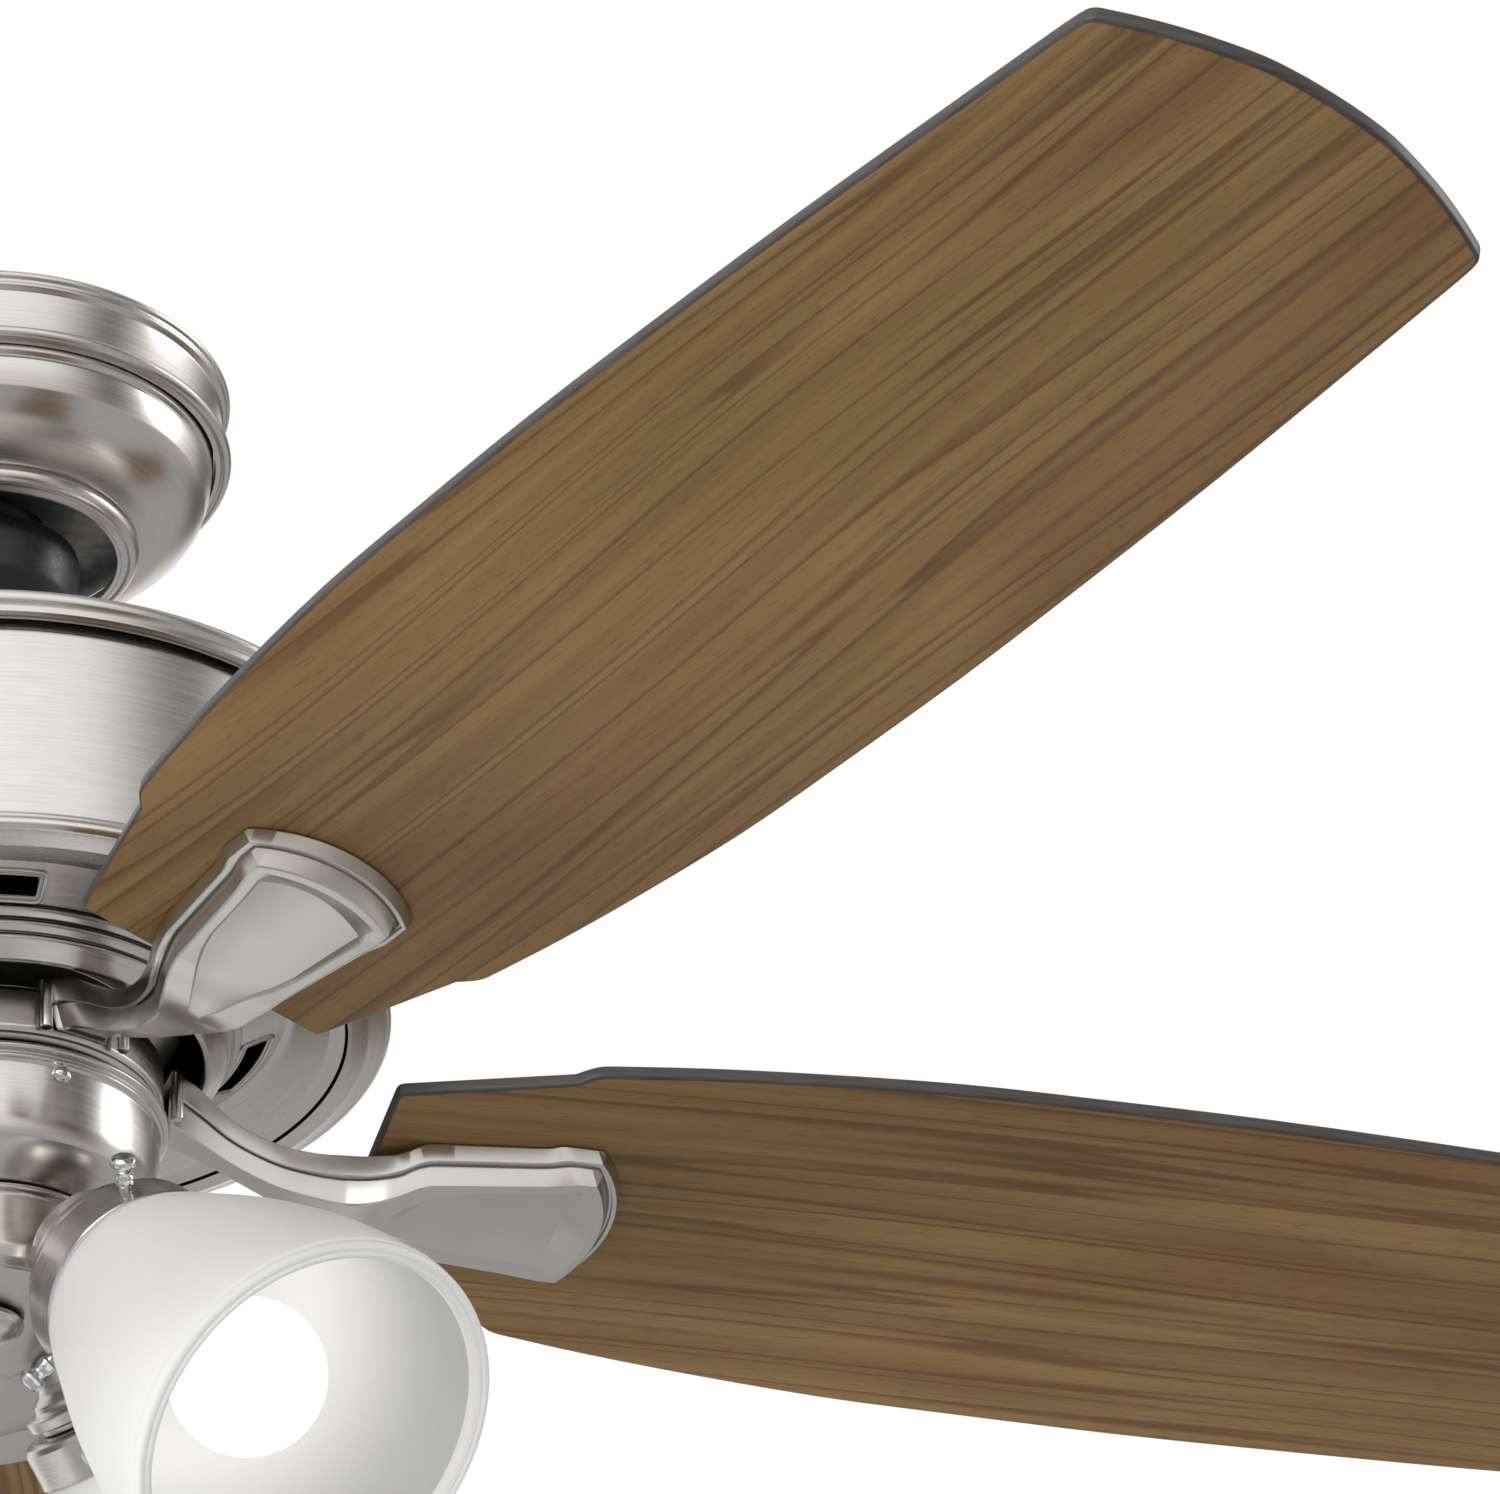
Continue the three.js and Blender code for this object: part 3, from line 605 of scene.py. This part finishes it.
top_sheet = iron_sheet("iron_top", False)
iron = iron_sheet("iron_underside", True)
select_only([iron, top_sheet])
bpy.ops.object.join()
bpy.ops.object.mode_set(mode="EDIT")
bpy.ops.mesh.select_mode(type="EDGE")
bpy.ops.mesh.select_all(action="DESELECT")
bpy.ops.mesh.select_non_manifold()
bpy.ops.mesh.bridge_edge_loops()
bpy.ops.mesh.select_all(action="SELECT")
bpy.ops.mesh.normals_make_consistent(inside=False)
bpy.ops.object.mode_set(mode="OBJECT")
bpy.ops.object.shade_smooth_by_angle(angle=math.radians(17))

# Plated casting: satin and without lines, with faint clouds about 40 mm across.
cast_nickel, tree, shader = start_material("satin_nickel_casting", "#c8c5c1", 0.25, 1.0)
clouds = pattern(tree, (25, 25, 25), 1)
mark_surface(tree, shader, clouds, [(0.35, "#c6c3bf"), (0.65, "#cfccc8")], (0.23, 0.27))


def turn_into_place(piece, azimuth):
    """Turns a piece about the fan's axis and leaves its place in its mesh."""
    piece.data.transform(Matrix.Rotation(math.radians(azimuth), 4, "Z"))


def copy_piece(piece, name):
    """A copy with a mesh of its own."""
    twin = piece.copy()
    twin.data = piece.data.copy()
    twin.name = name
    bpy.context.scene.collection.objects.link(twin)
    return twin


RIB_RADIUS = 1.9
RIB_TOP = -246.4
RIB_BOTTOM = -262.6
RIB_PLACE = (58.5, 13.9)        # distance from the axis, and to each side of the foot
rib_section = [(0, RIB_TOP), (RIB_RADIUS, RIB_TOP), (RIB_RADIUS, RIB_BOTTOM), (0, RIB_BOTTOM)]
ribs = []
for side in (-1, 1):
    rib = turned("iron_rib", rib_section, 24, 0.5, False)
    rib.data.transform(Matrix.Translation((RIB_PLACE[0] * MM, side * RIB_PLACE[1] * MM, 0)))
    ribs.append(rib)
select_only([iron] + ribs)
bpy.ops.object.join()
dress(cast_nickel, iron)
for i in range(BLADES):
    piece = copy_piece(iron, f"cast_blade_iron_{i + 1}")
    turn_into_place(piece, FIRST_BLADE + i * 360 / BLADES)
    fit(piece, "rotor", "cast_nickel", f"blade_iron_{i + 1}")
bpy.data.objects.remove(iron)

# ---- Blades --------------------------------------------------------------------------------------
# Five-ply boards, 5.5 mm thick, faced on both sides with walnut veneer under a matt lacquer. Their
# edges are rounded and painted dark. Each is held to its iron by three screws from above.
THICKNESS = 5.5
EDGE_ROUNDING = 1.5
BLADE_ROOT = 121.5
TIP = 660
BLADE_EDGE = [
    [174.9, 57.6], [178.4, 60.4], [182.3, 62.5], [190, 63.9], [216, 67.7], [251, 71.5], [296, 75],
    [340, 76], [400, 76.5], [460, 75.3], [520, 73.4], [580, 70.5], [630, 67.9],
]
TIP_EDGE = [
    [636, 67.4], [639.4, 66.7], [641.6, 65], [643.2, 62], [645.8, 57], [650.5, 46.5], [654.4, 35.6],
    [658.2, 22], [659.6, 10], [TIP - 0.1, 0],
]

root_corner = [(BLADE_ROOT, 41.4), (BLADE_ROOT + 0.5, 42.9), (BLADE_ROOT + 2, 43.8)]
long_edge = curve_through(BLADE_EDGE, 3)
tip_edge = curve_through(TIP_EDGE, 3)
half_outline = root_corner + long_edge + tip_edge
outline = half_outline + [(u, -v) for u, v in half_outline[-2::-1]]
board = board_from(outline, bottom=0, thickness=THICKNESS)
rounding = board.modifiers.new("rounding", "BEVEL")
rounding.width = EDGE_ROUNDING * MM
rounding.segments = 4
rounding.limit_method = "ANGLE"
rounding.angle_limit = math.radians(60)
bpy.ops.object.modifier_apply(modifier="rounding")
bpy.ops.object.shade_smooth_by_angle(angle=math.radians(25))

# Walnut veneer, sliced lengthwise: soft bands about 17 mm wide and thin dark seams run along the
# blade and wander a little, with streaks 1.6 mm wide and short open pores. The pores are about
# 0.2 mm wide and are drawn 0.5 mm wide.
walnut, tree, shader = start_material("walnut_veneer_matt_lacquer", "#7d6340", 0.5)
grain_map = add(tree, "ShaderNodeUVMap", {"uv_map": "grain"}).outputs["UV"]
slow_bend = pattern(tree, (1.6, 4, 1), 1, source=grain_map)
bend = add(tree, "ShaderNodeMapRange", inputs={
    "Value": slow_bend, "From Min": 0.3, "From Max": 0.7, "To Min": -0.011, "To Max": 0.011})
place = add(tree, "ShaderNodeSeparateXYZ", inputs={0: grain_map}).outputs
across = add(tree, "ShaderNodeMath", {"operation": "ADD"}, {0: place["Y"], 1: bend.outputs["Result"]})
bent = add(tree, "ShaderNodeCombineXYZ", inputs={"X": place["X"], "Y": across.outputs[0]}).outputs[0]
bands = pattern(tree, (1.1, 60, 1), source=bent)
seams = pattern(tree, (0.8, 46, 1), source=bent)
streaks = pattern(tree, (6, 620, 1), 4, 0.6, bent)
patches = pattern(tree, (3, 16, 1), source=bent)
pores = pattern(tree, (110, 1900, 1), 1, source=grain_map)
wood = add(tree, "ShaderNodeValToRGB", inputs={"Fac": bands}, stops=[
    (0.30, "#85653a"), (0.44, "#8f6f40"), (0.54, "#987748"), (0.62, "#8a6a3c"), (0.72, "#937344"),
]).outputs["Color"]
for marks, amount, stops in [
    (seams, 0.7, [(0.45, "#ffffff"), (0.48, "#9a8468"), (0.486, "#ffffff"), (0.53, "#ffffff"),
                  (0.56, "#a08c70"), (0.566, "#ffffff")]),
    (streaks, 0.25, [(0.34, "#8a8078"), (0.5, "#ffffff"), (0.7, "#fff6ea")]),
    (patches, 0.8, [(0.36, "#dccab8"), (0.5, "#ffffff"), (0.66, "#e8e8d2")]),
    (pores, 0.35, [(0.30, "#4a3a2c"), (0.40, "#ffffff")]),
]:
    layer = add(tree, "ShaderNodeValToRGB", inputs={"Fac": marks}, stops=stops).outputs["Color"]
    wood = add(tree, "ShaderNodeMix", {"data_type": "RGBA", "blend_type": "MULTIPLY"},
               {"Factor": amount, 6: wood, 7: layer}).outputs[2]
tree.links.new(wood, shader.inputs["Base Color"])
mark_surface(tree, shader, streaks, roughness=(0.46, 0.6))
mark_surface(tree, shader, pores, depth_mm=0.05, strength=0.6)

# Painted plywood edge: charcoal, slightly satin, with a faint grain of the plies.
edge_paint, tree, shader = start_material("charcoal_edge_paint", "#46423f", 0.42)
plies = pattern(tree, (60, 60, 900))
mark_surface(tree, shader, plies, [(0.35, "#403c3b"), (0.65, "#524d4a")], depth_mm=0.03)

board.data.materials.append(walnut)
board.data.materials.append(edge_paint)
for face in board.data.polygons:
    face.material_index = 0 if abs(face.normal.z) > 0.97 else 1
grain_layer = board.data.uv_layers.new(name="grain")
for loop in board.data.loops:
    place = board.data.vertices[loop.vertex_index].co
    grain_layer.data[loop.index].uv = (place.x, place.y)

tilt = Matrix.Translation((0, 0, BLADE_PLANE * MM)) @ Matrix.Rotation(math.radians(PITCH), 4, "X")
board.data.transform(tilt)
VENEER_STEP = (1.7, 0.43)       # metres along and across the veneer from one blade to the next
for i in range(BLADES):
    piece = copy_piece(board, f"veneered_blade_{i + 1}")
    shift = Vector(VENEER_STEP) * i
    for corner in piece.data.uv_layers["grain"].data:
        corner.uv = corner.uv + shift
    turn_into_place(piece, FIRST_BLADE + i * 360 / BLADES)
    fit(piece, "rotor", "walnut_veneer", f"blade_{i + 1}")
bpy.data.objects.remove(board)

# ---- Blade screws and washers --------------------------------------------------------------------
# Three pan-head steel screws on fibre washers go down through each blade into its iron. Their
# heads show only from above.
SCREW_PLACES = [(150, 0), (180, -16), (180, 16)]
head_profile = [
    (0, 0), (6, 0), (6, 0.8), (4.6, 0.9), (4.4, 2), (3, 3), (1.2, 3.2), (1, 2), (0, 2),
]
head_section = [(r, THICKNESS + z) for r, z in head_profile]
heads = []
for u, v in SCREW_PLACES:
    head = turned("blade_screw", head_section, 32, 0.4, False)
    head.data.transform(tilt @ Matrix.Translation((u * MM, v * MM, 0)))
    heads.append(head)
select_only(heads)
bpy.ops.object.join()
screw_set = bpy.context.object
dress(zinc_plate, screw_set)
for i in range(BLADES):
    piece = copy_piece(screw_set, f"blade_screws_{i + 1}")
    turn_into_place(piece, FIRST_BLADE + i * 360 / BLADES)
    fit(piece, "rotor", "zinc_steel")
bpy.data.objects.remove(screw_set)

# ---- Switch housing ------------------------------------------------------------------------------
# A drawn nickel-plated cup on the shaft's lower end, with a rolled top edge. Three chrome screws
# hold it to its plate. It covers the speed switch, the capacitor and the reversing switch.
cup_section = (
    [(53.4, -266.8), (56.6, -266.8)] + bead(56.6, -268.0, 1.1, 60, -90, 5)
    + [(55.4, -269.4), (55.4, -270), (56.0, -270.3), (56.0, -271.2), (55.0, -271.6), (54.5, -272.6)]
    + [(54.3, -289.6), (53.8, -293), (52.4, -296.6), (50.4, -299), (43.2, -304.8), (41, -306.2)]
    + [(34.2, -306.2), (34.2, -305), (40.4, -304.8), (50.4, -297.4), (53.0, -290.4)]
)
switch_cup = turned("switch_housing_cup", cup_section, 144, 0.4)
dress(satin_nickel, switch_cup)
fit(switch_cup, "fan_body", "brushed_nickel", "switch_housing")

# Polished chrome on small screws: nearly mirror-bright, with faint handling marks.
chrome, tree, shader = start_material("polished_chrome", "#d8dadc", 0.08, 1.0)
handling = pattern(tree, (1500, 1500, 1500), 3)
mark_surface(tree, shader, handling, [(0.35, "#c6c8ca"), (0.65, "#e2e4e6")], (0.06, 0.14))

CUP_SCREWS = 3
CUP_SCREW_Z = -274.6
FIRST_CUP_SCREW = -64
# Each screw is turned upright and laid on its side, so its heights are distances from the axis.
cup_screw_section = [
    (0, 53), (1.6, 53), (1.6, 54.4), (3.1, 54.5), (3.0, 55.3), (2.2, 56.4), (1, 56.9), (0, 57),
]
on_its_side = Matrix.Rotation(math.radians(90), 4, "Y")
for i in range(CUP_SCREWS):
    screw = turned(f"switch_housing_screw_{i + 1}", cup_screw_section, 32, 0.4, False)
    screw.data.transform(Matrix.Translation((0, 0, CUP_SCREW_Z * MM)) @ on_its_side)
    turn_into_place(screw, FIRST_CUP_SCREW + i * 360 / CUP_SCREWS)
    dress(chrome, screw)
    fit(screw, "fan_body", "zinc_steel")
for name in ["speed_switch", "capacitor", "reverse_switch", "reverse_slider"]:
    dress(black_nylon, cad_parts[name])
dress(satin_nickel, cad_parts["chain_outlet"])

# ---- Light fitter --------------------------------------------------------------------------------
# A short nickel-plated drum under the switch housing. The four lamp arms screw into its side, and
# a turned finial closes it below.
fitter_section = (
    [(8.2, -307.4), (41.6, -307.4)] + bead(41.0, -308.4, 0.8, 60, -60, 4) + [(40.2, -309.6), (39.9, -311)]
    + [(39.9, -322), (39.4, -327), (38, -330.8), (36.4, -333)] + bead(34.6, -332.4, 1.2, -20, -90, 4)
    + [(24, -333.2), (8.2, -333.2), (8.2, -332), (36, -331.8), (38.2, -329.6), (38.2, -309),
       (8.2, -309)]
)
fitter = turned("light_fitter_drum", fitter_section, 144, 0.5)
dress(satin_nickel, fitter)
fit(fitter, "fan_body", "brushed_nickel", "light_fitter")

finial_section = [
    (3.2, -327.2), (6.4, -327.2), (6.4, -333.8), (12.6, -334), (12.8, -335.6), (10.6, -336.4),
    (9.4, -337.8), (5.6, -339.2), (3.2, -339.2),
]
finial = turned("fitter_finial", finial_section, 64, 0.6)
dress(satin_nickel, finial)
fit(finial, "fan_body", "brushed_nickel", "finial")

# ---- Lamps ---------------------------------------------------------------------------------------
# Each lamp is a cast arm with a grooved flange, a drawn holder cup with three thumbscrews, a glazed
# porcelain socket, a bulb, and a pressed glass shade that is etched white inside and out.
LAMPS = 4
FIRST_LAMP = -44.6
LAMP_TILT = 46.2
MOUTH_OFFSET = 137.4
MOUTH_Z = -421.5
HOLDER_TOP = 115

arm_section = [
    (14.8, HOLDER_TOP + 0.5), (24.4, HOLDER_TOP + 0.5), (24.4, HOLDER_TOP + 2.4),
    (27.4, HOLDER_TOP + 2.8),
    (27.6, HOLDER_TOP + 6.4), (24.6, HOLDER_TOP + 6.8), (23.4, HOLDER_TOP + 8),
    (23.2, HOLDER_TOP + 9.6),
    (20.2, HOLDER_TOP + 12), (18.9, HOLDER_TOP + 14.4), (18.9, HOLDER_TOP + 20.8),
    (6.2, HOLDER_TOP + 20.8),
    (6.2, HOLDER_TOP + 14.8), (14.8, HOLDER_TOP + 14.8),
]
holder_section = [
    (14.8, HOLDER_TOP), (28.6, HOLDER_TOP), (31.4, HOLDER_TOP - 0.8), (32.5, HOLDER_TOP - 2.6),
    (32.6, HOLDER_TOP - 13), (32.9, HOLDER_TOP - 14), (32.6, HOLDER_TOP - 14.7),
    (31.7, HOLDER_TOP - 14.7),
    (31.7, HOLDER_TOP - 2.8), (28.4, HOLDER_TOP - 1.6), (14.8, HOLDER_TOP - 1.6),
]
socket_section = [
    (12.8, 81.2), (14.0, 81.2), (14.0, 96), (14.4, 97), (14.4, 99), (14.0, 100),
    (14.0, HOLDER_TOP + 13.8),
    (3.2, HOLDER_TOP + 13.8), (3.2, HOLDER_TOP + 4.2), (12.8, HOLDER_TOP + 4.2),
]
bulb_section = bead(0, 40, 23.8, -89, 26, 16) + [
    (19.4, 56), (16, 64), (13.2, 72), (12.2, 78), (12.2, HOLDER_TOP), (0, HOLDER_TOP),
]
shade_section = (
    [(54.9, 2.4), (55.6, 0.9), (56.6, 0.4), (57.2, 0.5), (57.5, 1.3), (57.9, 1.3), (58.2, 0.5), (59.2, 0.5)]
    + [(60.1, 1.2), (60.4, 2.2), (60.1, 3.4), (60.1, 3.9), (60.6, 4.6), (60.6, 7), (60.3, 10)]
    + [(59.4, 18), (57.4, 30), (55.2, 40), (52.4, 50), (49.3, 60), (45.6, 70), (41, 81.6)]
    + [(37.6, 90.4), (35.2, 95.8), (32.6, 98.6), (30.7, 100.6), (30.5, 111.8)]
    + [(27.7, 111.8), (27.7, 99), (30, 96.4), (33, 91.4), (38.4, 79), (42.2, 69), (46, 58.6)]
    + [(49, 49), (51.8, 39), (54, 29.4), (55.1, 18), (55.3, 7.6), (54.7, 6.6), (54.7, 4.4)]
)
thumbscrew_section = [
    (0, 44.2), (2.4, 44.0), (3.7, 43.2), (4.1, 42), (3.8, 41), (2.9, 40.2), (2.2, 38.8), (2.2, 37.8),
    (2.8, 36.8), (2.8, 34.6), (2.0, 34.2), (2.0, 30.9), (0, 30.9),
]
THUMBSCREW_HEIGHT = 107.6
THUMBSCREW_ANGLES = [-40.6, -160.6, 79.4]

arm = turned("arm", arm_section, 72, 0.4)
holder = turned("holder", holder_section, 96, 0.3)
socket = turned("socket", socket_section, 48, 0.5)
bulb = turned("bulb", bulb_section, 48, 0, False)
shade = turned("shade", shade_section, 128, 0.5)
RIM_HEIGHT = 2.5                # the rounded rim below this has the outside's glass all round
# The inside faces take the greyer painted-shade copy of the glass.
inner_faces = [
    int(face.normal.xy.dot(face.center.xy) < 0 and face.center.z > RIM_HEIGHT * MM)
    for face in shade.data.polygons
]
thumbscrews = []
for angle in THUMBSCREW_ANGLES:
    screw = turned("thumbscrew", thumbscrew_section, 32, 0.3, False)
    facing = Matrix.Rotation(math.radians(angle), 4, "Z") @ on_its_side
    screw.data.transform(Matrix.Translation((0, 0, THUMBSCREW_HEIGHT * MM)) @ facing)
    thumbscrews.append(screw)
select_only(thumbscrews)
bpy.ops.object.join()
screws = bpy.context.object

# Glazed porcelain: white with a hard clear glaze.
porcelain, tree, shader = start_material("glazed_porcelain", "#e8e4da", 0.15)
glaze = pattern(tree, (200, 200, 200))
mark_surface(tree, shader, glaze, [(0.35, "#e2ddd2"), (0.65, "#f0ece4")], depth_mm=0.03)

# Soft white bulb, lit: a warm white glow, faintly mottled.
lit_bulb, tree, shader = start_material("lit_soft_white_bulb", "#fbf8f2", 0.35)
crown = add(tree, "ShaderNodeValToRGB", inputs={"Fac": pattern(tree, (60, 60, 60), 1)},
            stops=[(0.3, "#fffaf4"), (0.7, "#fffefc")])
tree.links.new(crown.outputs["Color"], shader.inputs["Emission Color"])
shader.inputs["Emission Strength"].default_value = 1.15


def etched(name, low, high, glow_strength):
    """White glass with a satin etch. It has a painted glow of this strength where it faces the eye, for the
    bulb's light let through.
    """
    material, tree, shader = start_material(name, high, 0.42)
    mottle = pattern(tree, (2000, 2000, 2000))
    mark_surface(tree, shader, mottle, [(0.3, low), (0.7, high)], (0.38, 0.5), 0.01)
    shader.inputs["Transmission Weight"].default_value = 0.3
    shader.inputs["IOR"].default_value = 1.45
    shader.inputs["Emission Color"].default_value = colour("#fffdfb")
    facing = add(tree, "ShaderNodeLayerWeight", inputs={"Blend": 0.3}).outputs["Facing"]
    glow = add(tree, "ShaderNodeMapRange", inputs={
        "Value": facing, "From Min": 0.0, "From Max": 0.7, "To Min": glow_strength, "To Max": 0.0})
    tree.links.new(glow.outputs["Result"], shader.inputs["Emission Strength"])
    return material


# The outside has a painted glow that stands in for the bulb's light let through the etched glass.
# The etch is finer than 0.1 mm and gives a faint mottle 0.5 mm across. The inside is a greyer copy
# of the glass, as painted shade, with a painted glow from the bulb that fades out towards the mouth.
outside_glass_painted_glow = etched("acid_etch_with_painted_glow", "#ececec", "#f6f6f5", 0.24)
inside_glass_painted_shade = etched("inside_glass_with_painted_shade", "#cacbcc", "#d2d3d3", 0.0)
tree = inside_glass_painted_shade.node_tree
turning = add(tree, "ShaderNodeAttribute", {"attribute_name": "turning"}).outputs["Vector"]
along_section = add(tree, "ShaderNodeSeparateXYZ", inputs={0: turning}).outputs["Z"]
# A painted glow inside, for the bulb's light: strongest deep in the shade and fading to none near the
# mouth.
painted_bulb_glow = add(tree, "ShaderNodeMapRange", {"interpolation_type": "SMOOTHSTEP"}, {
    "Value": along_section, "From Min": 0.16, "From Max": 0.225, "To Min": 0.28, "To Max": 0.0})
tree.links.new(painted_bulb_glow.outputs["Result"],
               tree.nodes["Principled BSDF"].inputs["Emission Strength"])

lamp_parts = [
    (arm, "lamp_arm", "turned_lamp_arm", satin_nickel, "brushed_nickel"),
    (holder, "shade_holder", "drawn_shade_holder", satin_nickel, "brushed_nickel"),
    (socket, "lamp_socket", "glazed_lamp_socket", porcelain, "porcelain"),
    (bulb, "bulb", "lit_bulb", lit_bulb, "bulb_glass"),
    (shade, "shade", "etched_shade", outside_glass_painted_glow, "frosted_glass"),
    (screws, None, "shade_thumbscrews", chrome, "zinc_steel"),
]
for i in range(LAMPS):
    azimuth = math.radians(FIRST_LAMP + i * 360 / LAMPS)
    mouth = Vector((MOUTH_OFFSET * math.cos(azimuth), MOUTH_OFFSET * math.sin(azimuth), MOUTH_Z)) * MM
    lean = Matrix.Rotation(azimuth, 4, "Z") @ Matrix.Rotation(math.radians(LAMP_TILT - 90), 4, "Y")
    for part, node, name, material, slot_name in lamp_parts:
        piece = copy_piece(part, f"{name}_{i + 1}")
        piece.data.transform(Matrix.Translation(mouth) @ lean)
        dress(material, piece)
        if part == shade:
            # Its inside faces take the greyer painted-shade copy of the glass.
            piece.data.materials.append(inside_glass_painted_shade)
            piece.data.polygons.foreach_set("material_index", inner_faces)
        fit(piece, "fan_body", slot_name, *([f"{node}_{i + 1}"] if node else []))
for part in lamp_parts:
    bpy.data.objects.remove(part[0])

# ---- Studio --------------------------------------------------------------------------------------
# A pale floor far below, and a white surround. The metal reflects soft light and dark bands round
# it, one set above the horizon and one below. The camera looks up at the fan from the front.
bpy.ops.object.select_all(action="DESELECT")
bpy.ops.mesh.primitive_plane_add(size=60, location=(0, 0, -6))
floor = bpy.context.object
floor.name = "studio_floor"
# Matt floor paint, with faint roller marks about 50 mm across.
pale, tree, shader = start_material("pale_floor_paint", "#f4f4f4", 0.8)
mark_surface(tree, shader, pattern(tree, (20, 20, 20)), depth_mm=0.2)
dress(pale, floor)

world = bpy.data.worlds.new("studio")
bpy.context.scene.world = world
world.use_nodes = True
tree = world.node_tree
direction = add(tree, "ShaderNodeTexCoord").outputs["Generated"]
parts = add(tree, "ShaderNodeSeparateXYZ", inputs={0: direction}).outputs
azimuth = add(tree, "ShaderNodeMath", {"operation": "ARCTAN2"}, {0: parts["Y"], 1: parts["X"]})
turn = add(tree, "ShaderNodeMapRange", inputs={
    "Value": azimuth.outputs[0], "From Min": -math.pi, "From Max": math.pi, "To Min": 0, "To Max": 1})
lift = add(tree, "ShaderNodeMapRange", inputs={
    "Value": parts["Z"], "From Min": -1, "From Max": 1, "To Min": 0, "To Max": 1})
around = add(tree, "ShaderNodeValToRGB", inputs={"Fac": turn.outputs[0]}, stops=[
    (0.0, "#b0aeac"), (0.13, "#e8e8e8"), (0.24, "#ffffff"), (0.34, "#f6f6f6"), (0.40, "#8a8784"),
    (0.43, "#4c4947"), (0.47, "#b4b2b0"), (0.51, "#eceae8"), (0.57, "#e2e0de"), (0.62, "#62605d"),
    (0.67, "#605d5b"), (0.70, "#f2f0ee"), (0.735, "#f2f0ee"), (0.75, "#45423f"), (0.77, "#45423f"),
    (0.79, "#ffffff"), (0.88, "#d8d6d4")])
below = add(tree, "ShaderNodeValToRGB", inputs={"Fac": turn.outputs[0]}, stops=[
    (0.0, "#5c5956"), (0.16, "#b9b6b3"), (0.28, "#f2f0ee"), (0.40, "#b5b2ae"), (0.50, "#e6e3e0"),
    (0.62, "#8b8783"), (0.70, "#aeaaa6"), (0.78, "#8e8a86"), (0.83, "#5f5c59"), (0.90, "#353331")])
upward = add(tree, "ShaderNodeValToRGB", inputs={"Fac": lift.outputs[0]}, stops=[
    (0.0, "#85827e"), (0.12, "#a39f9b"), (0.3, "#d2cfcb"), (0.45, "#dedbd8"), (0.72, "#ffffff"),
    (1.0, "#dcdad8")])
above = add(tree, "ShaderNodeMapRange", inputs={
    "Value": parts["Z"], "From Min": -0.12, "From Max": 0.04, "To Min": 0, "To Max": 1})
both_bands = add(tree, "ShaderNodeMix", {"data_type": "RGBA"}, {
    "Factor": above.outputs[0], 6: below.outputs["Color"], 7: around.outputs["Color"]})
reflection = add(tree, "ShaderNodeMix", {"data_type": "RGBA", "blend_type": "MULTIPLY"}, {
    "Factor": 1.0, 6: both_bands.outputs[2], 7: upward.outputs["Color"]})
surround = add(tree, "ShaderNodeBackground", inputs={"Color": reflection.outputs[2], "Strength": 1.35})
# Plain surfaces are lit by a wash that is strongest from the lower left of the front.
towards = add(tree, "ShaderNodeVectorMath", {"operation": "DOT_PRODUCT"}, {
    0: direction, 1: (-0.72, -0.36, -0.59)})
strength = add(tree, "ShaderNodeMapRange", inputs={
    "Value": towards.outputs["Value"], "From Min": -1, "From Max": 1, "To Min": 0.34, "To Max": 0.86})
wash = add(tree, "ShaderNodeBackground", inputs={
    "Color": colour("#ffffff"), "Strength": strength.outputs[0]})
backdrop = add(tree, "ShaderNodeBackground", inputs={"Color": colour("#ffffff"), "Strength": 1.0})
light_path = add(tree, "ShaderNodeLightPath").outputs
lit = add(tree, "ShaderNodeMixShader", inputs={
    0: light_path["Is Glossy Ray"], 1: wash.outputs[0], 2: surround.outputs[0]})
blend = add(tree, "ShaderNodeMixShader", inputs={
    0: light_path["Is Camera Ray"], 1: lit.outputs[0], 2: backdrop.outputs[0]})
tree.links.new(blend.outputs[0], tree.nodes["World Output"].inputs["Surface"])
bpy.context.scene.view_settings.view_transform = "Standard"


def soft_lamp(name, place, aim, size, watts, mirrored=True):
    """A square area light that faces a point. Metal shows it unless it is not mirrored."""
    lamp = bpy.data.lights.new(name, "AREA")
    lamp.size = size
    lamp.energy = watts
    holder = bpy.data.objects.new(name, lamp)
    holder.location = place
    holder.rotation_euler = (Vector(aim) - Vector(place)).to_track_quat("-Z", "Y").to_euler()
    holder.visible_glossy = mirrored
    bpy.context.scene.collection.objects.link(holder)


soft_lamp("key_left", (-1.6, -2.6, 1.0), (0, 0, -0.25), 1.4, 30)
soft_lamp("fill_left", (-2.2, 0.8, -1.7), (0, 0, -0.27), 1.2, 46, False)
soft_lamp("rim_right", (2.6, 0.2, 0.9), (0, 0, -0.3), 1.0, 12)

camera_data = bpy.data.cameras.new("camera")
camera_data.sensor_width = 36
camera_data.lens = 234.397
camera = bpy.data.objects.new("camera", camera_data)
forward = Vector((0.07834, 0.85262, 0.51667))
right = Vector((0.99693, -0.06757, -0.03965))
up = Vector((-0.00111, -0.51820, 0.85530))
axes = Matrix((right, up, -forward)).transposed().to_4x4()
camera.matrix_world = Matrix.Translation((0, -2.6424, -1.7296)) @ axes
bpy.context.scene.collection.objects.link(camera)
bpy.context.scene.camera = camera
